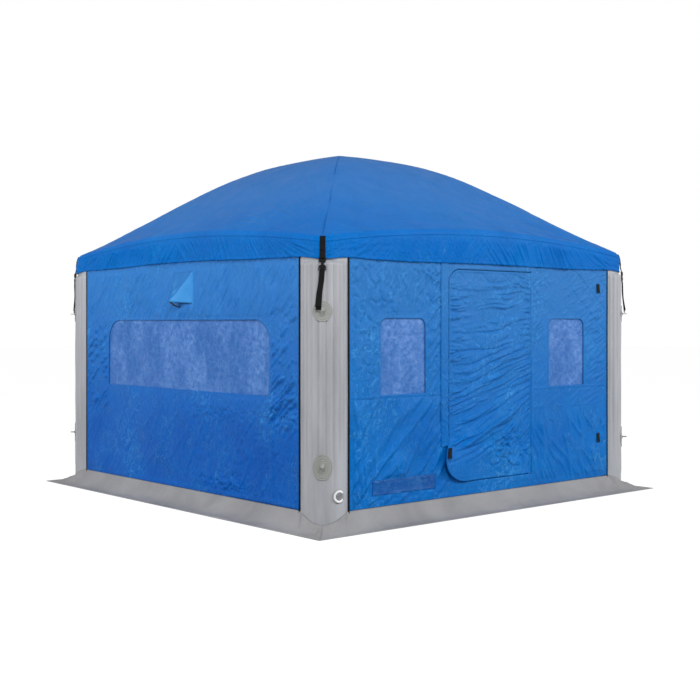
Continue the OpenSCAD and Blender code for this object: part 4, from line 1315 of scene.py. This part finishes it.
def skirt(side):
    """One side of the skirt: from the foot of the wall and columns to a square edge on the ground."""
    along, out, half, distance = SIDES[side]
    seed = 600 + 10 * list(SIDES).index(side)
    # its upper edge follows the wall, then a column's tube to the corner
    gap = 0.001
    r, deep = TUBE_R + gap, distance + gap
    inset = COLUMN_R - TUBE_OUT * math.sqrt(0.5)
    middle_x, middle_y = half - inset, distance - inset
    first = -math.acos((deep - middle_y) / r)        # turn at which the tube leaves the wall
    last = math.pi / 4
    straight = middle_x + r * math.sin(first)
    run_end = straight + r * (last - first)
    run = np.concatenate([np.linspace(-run_end, -straight, 30)[:-1], np.linspace(-straight, straight, 180),
                          np.linspace(straight, run_end, 30)[1:]])
    uu, ss = np.meshgrid(run, np.linspace(0, 1, 20) ** 1.25)
    turn = first + np.clip((np.abs(uu) - straight) / r, 0, last - first)
    flat = np.abs(uu) <= straight
    edge_x = np.where(flat, uu, np.sign(uu) * (middle_x + r * np.sin(turn)))
    edge_y = np.where(flat, deep, middle_y + r * np.cos(turn))
    bend = np.clip((np.abs(uu) - straight) / (run_end - straight), 0, 1)
    edge_h = WALL_BASE + (SKIRT_CORNER_H - WALL_BASE) * smooth(0, 1, bend)
    foot_x = edge_x * (half + SKIRT_REACH) / (middle_x + r * math.sin(last))
    x = edge_x + (foot_x - edge_x) * ss
    y = edge_y + (distance + SKIRT_REACH - edge_y) * ss
    z = (edge_h - SKIRT_T) * (1 - ss) ** 3
    # soft swells along the ground
    swell = 0.010 * smooth(0.1, 0.8, noise(x / 0.55, ss * 1.2, seed))
    swell = swell + 0.004 * smooth(0.2, 0.8, noise(x / 0.16, ss * 2.2, seed + 1))
    z = z + swell * smooth(0.0, 0.25, ss) * smooth(1.0, 0.85, ss) * smooth(1.0, 0.9, bend)
    # creases that leave the columns' feet; none at the mitre, where the next side's skirt has to meet it
    own = smooth(1.0, 0.94, bend)
    round_foot = np.arctan2(np.abs(x) - middle_x, y - middle_y)
    gathers = ridged(noise(round_foot * 4.2, ss * 1.4, seed + 2), 0.25)
    gathers = gathers * smooth(0.45, 0.95, bend) * smooth(0.0, 0.2, ss) * smooth(0.85, 0.35, ss)
    z = z + 0.014 * own * gathers
    y = y + 0.0025 * own * noise(x / 0.10, ss * 4, seed + 3) * smooth(0.0, 0.1, ss) * smooth(0.6, 0.3, ss)
    hem = 0.0012 * smooth(0.86, 0.88, ss) * smooth(1.0, 0.97, bend)
    inner = x[..., None] * np.array(along, float) + y[..., None] * np.array(out, float)
    inner[..., 2] = z
    outer = inner.copy()
    outer[..., 2] += SKIRT_T + hem
    piece = grid_shell(f"{side}_snow_skirt", outer, inner, skirt_cloth)
    set_up(piece, SHELTER, "skirt_fabric", f"{side}_skirt")


for side in SIDES:
    skirt(side)

# ---------- zips and pull tabs ----------


def wall_zips():
    """Coil zips: black teeth between a blue tape on the wall and a grey one on the column."""
    # across a zip from the wall's side: place, height and material of each point of its section
    tape = [(-0.62, 0.0004, 1), (-0.46, 0.0022, 1), (-0.40, 0.0026, 0), (-0.16, 0.0046, 0),
            (0.0, 0.0058, 0), (0.16, 0.0046, 0), (0.40, 0.0024, 0), (0.46, 0.0, 2),
            (0.75, -0.004, 2), (1.10, -0.010, 2), (1.10, -0.014, 2), (-0.62, -0.004, 0)]
    p, h, kind = np.array(tape).T
    foot, pitch = 0.095, 0.008
    z = np.concatenate([np.linspace(foot, WALL_BASE, 8), np.arange(WALL_BASE + pitch, WALL_TOP, pitch)])
    tail = np.maximum(0.0, (WALL_BASE - z) / (WALL_BASE - foot))[:, None]
    teeth = 0.0008 * (np.arange(len(z)) % 2)[:, None] * (np.abs(p) < 0.15)
    height = h + teeth + 0.016 * tail ** 1.5
    wide = p * (ZIP_W + 0.008 * tail) * (1 - 0.4 * tail * (np.abs(p) > 0.3))
    kinds = np.where((kind == np.roll(kind, -1)) & (z[:-1, None] >= WALL_BASE), kind, 0)
    points, faces = [], []
    for side, (_, _, half, _) in SIDES.items():
        for end in (-1, 1):
            middle = end * (half - (WALL_END + COLUMN_R) / 2) + 0.0010 * np.sin(z * 3.1 + end)[:, None]
            faces += ring_faces(len(z), len(p), len(points))
            u = middle + end * (wide - 0.010 * tail)
            points += side_place(side)(u.ravel(), np.repeat(z, len(p)), height.ravel()).tolist()
    piece = make_object("corner_zips", points, faces, black_web)
    piece.data.materials.append(wall_cloth)
    piece.data.materials.append(column_vinyl)
    all_kinds = [*kinds.ravel().astype(int).tolist(), 0, 0] * (2 * len(SIDES))
    piece.data.polygons.foreach_set("material_index", all_kinds)
    set_up(face_outward(piece), SHELTER, "black_webbing", "wall_zips")


def pull_tab(name, place, u, z, body, *nodes):
    """A doubled webbing tab, sewn at its top and curling away at its foot."""
    width, thick = 0.040, 0.0026
    vv, xx = np.meshgrid(np.linspace(0, 1, 26), np.linspace(-0.5, 0.5, 9), indexing="ij")
    curl = 0.010 * vv ** 2.2 - 0.0012 * ridged(vv - 0.14, 0.02)
    edge = 0.0008 * smooth(0.42, 0.5, np.abs(xx))
    uu, zz = (u + xx * width).ravel(), (z + TAB_H * (1 - vv)).ravel()
    outer, inner = (place(uu, zz, h.ravel()).reshape(*vv.shape, 3)
                    for h in (curl + thick - edge, curl + edge))
    set_up(grid_shell(name, outer, inner, black_web), body, "black_webbing", *nodes)


wall_zips()
tab_x = (TABS_LOW.x + TABS_HIGH.x) / 2
pull_tab("lower_wall_tab", side_place("front", 0.004), tab_x, TABS_LOW.z, SHELTER, "wall_tabs")
pull_tab("upper_wall_tab", side_place("front", 0.004), tab_x, TABS_HIGH.z - TAB_H, SHELTER)
door_tab_low, door_tab_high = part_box("door_tab")
pull_tab("door_pull_tab", lambda u, v, h: door_place(u, v, h + 0.004),
         (door_tab_low.x + door_tab_high.x) / 2 - 0.020, door_tab_low.z, DOOR, "door_tab")

# ---------- vents ----------


def vent_flaps():
    """Square flaps on the long walls, sewn along their top and right edges, propped at the free corner."""
    margin = 0.006
    low, high = VENT_LOW - margin, VENT_HIGH + margin
    left, right = VENT_SHIFT - VENT_W / 2 - margin, VENT_SHIFT + VENT_W / 2 + margin
    lift, pulled = 0.075, 0.026
    n = 25
    # aa goes from the sewn right edge to the free left edge, bb from the sewn top to the free lower edge
    aa, bb = np.meshgrid(np.linspace(0, 1, n), np.linspace(0, 1, n), indexing="ij")
    corner = np.minimum(aa, bb)                      # the fold runs from the top right to the free corner
    soft = 0.5 * (corner + aa * bb)
    u = right + (left - right) * aa + pulled * soft
    v = high + (low - high) * bb + 0.5 * pulled * soft
    # cells of the upper left triangle, which take the darker wall cloth as painted shade
    cell_a, cell_b = np.divmod(np.arange((n - 1) ** 2), n - 1)
    shaded = np.repeat(cell_a > cell_b, 2).astype(int).tolist()
    for side, nodes in (("left", ["vent_flaps"]), ("right", []), ("back", [])):
        h = lift * soft + 0.0060 * noise(aa * 3, bb * 3, 700 + len(side)) * corner + 0.004
        h = h - 0.004 * np.sin(math.pi * np.abs(aa - bb)) * np.maximum(aa, bb)
        place = side_place(side)
        outer, inner = (place(u.ravel(), v.ravel(), rise.ravel()).reshape(n, n, 3)
                        for rise in (h + 0.0015, h))
        piece = grid_shell(f"{side}_vent_flap", outer, inner, lit_flap_cloth)
        # the lower right triangle keeps the lighter flap cloth as painted light; the upper left one takes
        # the wall cloth as painted shade
        piece.data.materials.append(wall_cloth)
        rest = [0] * (len(piece.data.polygons) - len(shaded))
        piece.data.polygons.foreach_set("material_index", shaded + rest)
        set_up(piece, SHELTER, "wall_fabric", *nodes)
        # a short stiff tongue of black plastic props the free corner and reaches on below it, where it also
        # stands in for the flap's shadow as painted shade; a border in the flap's lighter cloth, painted
        # light, runs beside the flap
        tip_u, tip_v, tip_h = u[-1, -1], v[-1, -1], h[-1, -1]
        prop_and_shadow_points = [(tip_u + 0.004, tip_v + 0.002, tip_h - 0.003), (tip_u + 0.030, low - 0.020, 0.5 * tip_h),
                  (left + 0.075, low - 0.034, 0.006)]
        border = [(right + 0.004, high, 0.0035), (right + 0.004, low - 0.02, 0.0035)]
        for name, spots, width, thick, material, slot in (
                ("prop", prop_and_shadow_points, 0.040, 0.003, black_plastic, "black_plastic"),
                ("border", border, 0.022, 0.002, lit_flap_cloth, "wall_fabric")):
            line = place(*np.array(spots).T)
            trim = ribbon(f"{side}_vent_{name}", line, SIDES[side][0], width, thick, material)
            set_up(trim, SHELTER, slot)


def ribbon(name, line, across, width, thick, material, steps=16, ripple=0.0):
    """A flat band along a line of points, its width along the direction across."""
    line = np.array(line, float)
    place = np.concatenate([[0], np.cumsum(np.linalg.norm(np.diff(line, axis=0), axis=1))])
    t = np.linspace(0, place[-1], steps)
    path = np.stack([np.interp(t, place, line[:, i]) for i in range(3)], -1)
    if len(line) > 2:
        for _ in range(3):
            path[1:-1] = (path[:-2] + 2 * path[1:-1] + path[2:]) / 4
    across = unit(np.array(across, float))
    face = unit(np.cross(across, unit(np.gradient(path, axis=0))))
    x = np.array([-0.5, -0.44, -0.2, 0, 0.2, 0.44, 0.5])
    edge = np.array([0.55, 1, 0.92, 1, 0.92, 1, 0.55]) * thick / 2
    wave = ripple * noise(t[:, None] / 0.09, x * 0.6, 777)
    middle = path[:, None] + x[:, None] * width * across
    outer, inner = (middle + (wave + half)[..., None] * face[:, None] for half in (edge, -edge))
    return grid_shell(name, outer, inner, material)


vent_flaps()


# ---------- corner hardware ----------

PATCH_R = 0.075
ROUND_PATCH_Z, OVAL_PATCH_Z = 1.605, 0.475
# Reaches are measured on the diagonal, from the corner of a column's flats
TUBE_REACH = TUBE_OUT + TUBE_R
RING_REACH = TUBE_REACH + 0.030                   # the middle of the rings
STRAP_REACH = 0.3105                              # the strap on the canopy
BUCKLE_REACH = TUBE_REACH + 0.006
BUCKLE_Z, BUCKLE_W, BUCKLE_H = 1.948, 0.058, 0.090


def round_pad(name, place, width, height, profile, material):
    """A low round or oval pad: rings of points by share of its size and height, closed behind."""
    sides = 44
    turns = around(sides)
    points = [place(0.0, 0.0, profile[0][1])]
    for share, h in profile[1:]:
        wide, high = share * width / 2, share * height / 2
        points += [place(wide * math.cos(t), high * math.sin(t), h) for t in turns]
    faces = ring_faces(len(profile) - 1, sides, 1)[:-2]
    last, back = len(points) - sides, len(points)
    points.append(place(0.0, 0.0, profile[-1][1]))
    for i in range(sides):
        n = (i + 1) % sides
        faces += [(0, 1 + i, 1 + n), (last + n, last + i, back)]
    return face_outward(make_object(name, points, faces, material))


def on_column(corner, turn, z):
    """Places points round a spot on a column's tube: across it, up, and out from its face."""
    place = corner_place(corner, TUBE_OUT)

    def at(across, up, h):
        return tuple(place(turn + across / TUBE_R, TUBE_R + h, z + up))

    return at


def patch_profile():
    """Concentric welds, from the middle of a patch to its edge."""
    profile = [(0.0, 0.0052), (0.10, 0.0052)]
    for share in np.linspace(0.14, 0.98, 43):
        welds = sum(math.exp(-((share - ring) / 0.022) ** 2) for ring in (0.30, 0.46, 0.62, 0.86))
        profile.append((share, 0.0046 - 0.0010 * share - 0.0026 * welds))
    return profile + [(1.0, 0.0018), (1.0, -0.003)]


def corner_hardware(corner, first):
    """A column's two patches with their loops, and the strap that ties the canopy down to it."""
    sx, sy = CORNERS[corner]
    out = np.array([sx, sy, 0]) / math.sqrt(2)
    across = np.array([-out[1], out[0], 0.0])
    place = corner_place(corner)
    axis = place(0.0, 0.0, 0.0)
    loop = [(up, 0.015 - drop) for up, drop in (
        (0.030, 0.012), (0.016, 0.009), (0.006, 0.0025), (0.0, 0.0), (-0.006, 0.0025), (-0.016, 0.009),
        (-0.030, 0.012))]
    for kind, z0, height in (("round", ROUND_PATCH_Z, 2 * PATCH_R), ("oval", OVAL_PATCH_Z, 0.190)):
        piece = round_pad(f"{corner}_{kind}_patch", on_column(corner, 0.0, z0), 2 * PATCH_R, height,
                          patch_profile(), patch_vinyl)
        set_up(piece, SHELTER, "welded_vinyl", *(["anchor_patches"] if first and kind == "round" else []))
        wrap = [place(0.0, TUBE_REACH + h, z0 + up) for up, h in loop]
        set_up(ribbon(f"{corner}_{kind}_loop", wrap, across, 0.026, 0.0016, patch_vinyl, 24), SHELTER,
               "welded_vinyl")

    def at(reach, z, share=0.0):
        """A point by its distance out, its height and its share of the strap's drift to the side."""
        return axis + out * reach - 0.030 * share * across + np.array([0, 0, z])

    # sewn to the valance, through the buckle, down to the upper ring, with a loose tail
    s, b, r = STRAP_REACH, BUCKLE_REACH, RING_REACH
    buckle_top, buckle_foot = BUCKLE_Z + BUCKLE_H / 2 - 0.012, BUCKLE_Z - BUCKLE_H / 2 + 0.010
    upper = [at(s - 0.016, SEAM + 0.046), at(s - 0.004, SEAM + 0.024), at(s, SEAM), at(s + 0.006, 2.04),
             at(b, buckle_top)]
    sewn = [at(s + 0.003, SEAM), at(s + 0.009, 2.045)]
    lower = [at(b + 0.001, buckle_foot), at(b + 0.002, 1.84, 0.2), at(b + 0.006, 1.74, 0.65),
             at(r - 0.004, ROUND_PATCH_Z + 0.010, 0.9)]
    tail = [at(b + 0.005, buckle_foot - 0.004), at(b + 0.007, 1.82, 0.25), at(b + 0.011, 1.735, 0.75),
            at(r + 0.001, 1.636, 1.05)]
    for name, line, width, thick, steps, ripple, nodes in (
            ("upper_strap", upper, 0.042, 0.0026, 24, 0.0010, ["corner_straps"] if first else []),
            ("strap_end", sewn, 0.042, 0.0024, 10, 0.0, []),
            ("lower_strap", lower, 0.040, 0.0026, 34, 0.0016, []),
            ("strap_tail", tail, 0.040, 0.0024, 26, 0.0020, [])):
        piece = ribbon(f"{corner}_{name}", line, across, width, thick, black_web, steps, ripple)
        set_up(piece, SHELTER, "black_webbing", *nodes)
    buckle(corner, at, across, out, first)


def buckle(corner, at, across, out, first):
    """A side-release buckle: two halves that meet at a pinched waist, each with a slot for its strap."""
    w, h = BUCKLE_W / 2, BUCKLE_H / 2
    right = [(w, -h), (w, -h + 0.024), (w - 0.003, -0.015), (w - 0.014, -0.004), (w - 0.016, 0.003),
             (w - 0.011, 0.012), (w - 0.002, 0.020), (w, h - 0.016), (w - 0.002, h)]
    outline = right + [(-x, z) for x, z in right[::-1]]
    slot_end = w - 0.006
    holes = [rectangle(-slot_end, z, slot_end, z + 0.007) for z in (-h + 0.005, h - 0.012)]
    holes += [[(s * 0.0145, -0.006), (s * 0.0095, -0.010), (s * 0.0095, 0.012), (s * 0.0135, 0.009)]
              for s in (-1, 1)]

    def place(u, v, d):
        return at(BUCKLE_REACH, BUCKLE_Z) + np.outer(u, across) + np.outer(d, out) + np.outer(v, (0, 0, 1))

    def relief(u, v):
        edge = w - np.abs(u) - 0.013 * ridged(v, 0.010)
        crown = 0.0075 * smooth(0.0, 0.009, edge) * smooth(0.0, 0.006, h - np.abs(v))
        groove = 0.0022 * ridged(v - 0.001, 0.0014) * smooth(0.012, 0.010, np.abs(u))
        grip = 0.0008 * np.sin(v / 0.0006) * smooth(0.006, 0.004, np.abs(np.abs(v) - 0.018))
        return crown - groove + grip

    piece = skin(f"{corner}_buckle", [outline] + holes, 0.0022, place, relief, 0.005, black_plastic, 0.008)
    set_up(face_outward(piece), SHELTER, "black_plastic", *(["strap_buckles"] if first else []))


def valve():
    """The inflation valve low on the front left column: a white C-shaped ring round a hatched cap."""
    low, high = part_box("inflation_valve")
    middle = (low + high) / 2
    axis = corner_place("front_left", TUBE_OUT)(0.0, 0.0, 0.0)
    turn = math.atan2(middle.y - axis[1], middle.x - axis[0]) - math.atan2(-1, -1)
    size = (high - low).z
    at = on_column("front_left", turn, middle.z)
    base = [(0.0, 0.0040), (0.70, 0.0040), (0.74, 0.0048), (0.96, 0.0048), (1.0, 0.0036), (1.0, -0.003)]
    hatched = [(share, 0.0100 + 0.0012 * math.sin(share * 62)) for share in np.linspace(0.06, 0.94, 34)]
    cap = [(0.0, 0.0105)] + hatched + [(1.0, 0.0092), (1.0, 0.002)]
    set_up(round_pad("valve_base", at, size, size, base, patch_vinyl), SHELTER, "welded_vinyl",
           "inflation_valve")
    set_up(round_pad("valve_cap", at, 0.54 * size, 0.54 * size, cap, grey_plastic), SHELTER, "welded_vinyl")
    # the ring is open towards the right
    rings = [[at(r * math.cos(t), r * math.sin(t), 0.0085 + 0.0050 * math.sin(a))
              for a, r in ((a, 0.36 * size + 0.0085 * math.cos(a)) for a in around(12))]
             for t in np.radians(np.linspace(38, 322, 60))]
    set_up(ringed("valve_ring", np.array(rings), white_plastic), SHELTER, "welded_vinyl")


for number, corner in enumerate(CORNERS):
    corner_hardware(corner, number == 0)
valve()

# ---------- stitches along the hips ----------


def hip_stitches():
    """Two rows of stitches beside each hip."""
    t = np.linspace(0.03, 0.985, 600)
    scale, height, lean = roof_profile(t, np.ones(len(t)))
    corner_x, corner_y = CANOPY_X - CANOPY_CUT, CANOPY_Y - CANOPY_CUT
    run = scale * math.hypot(corner_x, corner_y)
    length = np.concatenate([[0], np.cumsum(np.hypot(np.diff(run), np.diff(height)))])
    points, faces = [], []
    for sx, sy in CORNERS.values():
        turn = math.atan2(sy * corner_y, sx * corner_x)
        ahead = np.array([math.cos(turn), math.sin(turn), 0])
        level = np.array([-math.sin(turn), math.cos(turn), 0])
        for start in np.arange(0.06, length[-1], 0.026):
            for off in (-0.020, 0.020):
                faces += ring_faces(2, 4, len(points))
                for s in (start, start + 0.015):
                    r, z, a = (np.interp(s, length, q) for q in (run, height, lean))
                    up = ahead * math.sin(a) + np.array([0, 0, math.cos(a)])
                    spot = ahead * r + np.array([0, 0, z]) + level * off - up * abs(off) * 0.35
                    for wide, high in ((-1, -0.001), (1, -0.001), (1, 0.0026), (-1, 0.0026)):
                        points.append(spot + level * wide * 0.0016 + up * high)
    piece = face_outward(make_object("hip_stitches", points, faces, thread_navy))
    set_up(piece, SHELTER, "canopy_fabric")


hip_stitches()

# ---------- the remaining CAD parts ----------


def recoat(node, material):
    obj = frame["nodes"][node]
    obj.data.materials.clear()
    obj.data.materials.append(material)


recoat("vent_screens", screen_black)
recoat("d_rings", ring_metal)

# ---------- floor, light and camera ----------


def backdrop():
    """A pale floor that keeps the object's shadow and shows no horizon."""
    mesh = bpy.data.meshes.new("floor")
    mesh.from_pydata([(-60, -60, 0), (60, -60, 0), (60, 60, 0), (-60, 60, 0)], [], [(0, 1, 2, 3)])
    floor = bpy.data.objects.new("floor", mesh)
    bpy.context.scene.collection.objects.link(floor)
    m = Nodes("floor_white", Roughness=1.0, Specular_IOR_Level=0.0, Base_Color=(0.4, 0.4, 0.4, 1))
    mesh.materials.append(m.material)
    camera_ray, glossy_ray, clear_ray = (
        m.add("LightPath", {}, f"Is {kind} Ray") for kind in ("Camera", "Glossy", "Transmission"))
    seen = m.math("MAXIMUM", camera_ray, m.math("MAXIMUM", glossy_ray, clear_ray))
    pale = m.add("BsdfDiffuse", {"Color": (1, 1, 1, 1)})
    glow = m.add("Emission", {"Strength": 1.06})
    shaded = m.add("MixShader", {"Fac": 0.88, 1: pale, 2: glow})
    mixed = m.add("MixShader", {"Fac": seen, 1: m.shader.outputs["BSDF"], 2: shaded})
    fill(m.tree, m.tree.nodes["Material Output"], {"Surface": mixed})


def world():
    """White to the camera and through the windows, softer as a light."""
    sky = bpy.data.worlds.new("studio")
    bpy.context.scene.world = sky
    sky.use_nodes = True
    tree = sky.node_tree
    camera_ray, clear_ray = (
        wired(tree, "LightPath", {}, f"Is {kind} Ray") for kind in ("Camera", "Transmission"))
    seen = wired(tree, "Math", {0: camera_ray, 1: clear_ray}, operation="MAXIMUM")
    level = wired(tree, "MapRange", {"Value": seen, "To Min": WORLD_LEVEL, "To Max": 1.0}, "Result")
    fill(tree, tree.nodes["Background"], {"Color": (1, 1, 1, 1), "Strength": level})


def area_light(name, place, target, width, height, power):
    light = bpy.data.lights.new(name, "AREA")
    light.shape = "RECTANGLE"
    light.size, light.size_y = width, height
    light.energy = power
    obj = bpy.data.objects.new(name, light)
    bpy.context.scene.collection.objects.link(obj)
    obj.location = place
    obj.rotation_euler = (Vector(target) - Vector(place)).to_track_quat("-Z", "Y").to_euler()


def camera():
    data = bpy.data.cameras.new("camera")
    data.sensor_width = 36.0
    data.lens = 60.2
    data.shift_x = 0.0596
    data.shift_y = -0.0388
    obj = bpy.data.objects.new("camera", data)
    bpy.context.scene.collection.objects.link(obj)
    obj.location = (-7.3252, -8.2260, 1.5217)
    obj.rotation_euler = (math.radians(90), 0, -0.6979)
    bpy.context.scene.camera = obj


WORLD_LEVEL = 0.48                                # the sky's strength as a light
backdrop()
world()
area_light("key", (-6.0, -8.5, 7.0), (0, 0, 1.0), 3, 3, 600)
area_light("front_right", (6.0, -8.5, 4.6), (0, -1, 1.2), 4, 3, 470)
area_light("back_left", (-8.5, 2.5, 4.0), (-1, 0, 1.2), 4, 3, 320)
camera()

bpy.context.scene.view_settings.view_transform = "Standard"
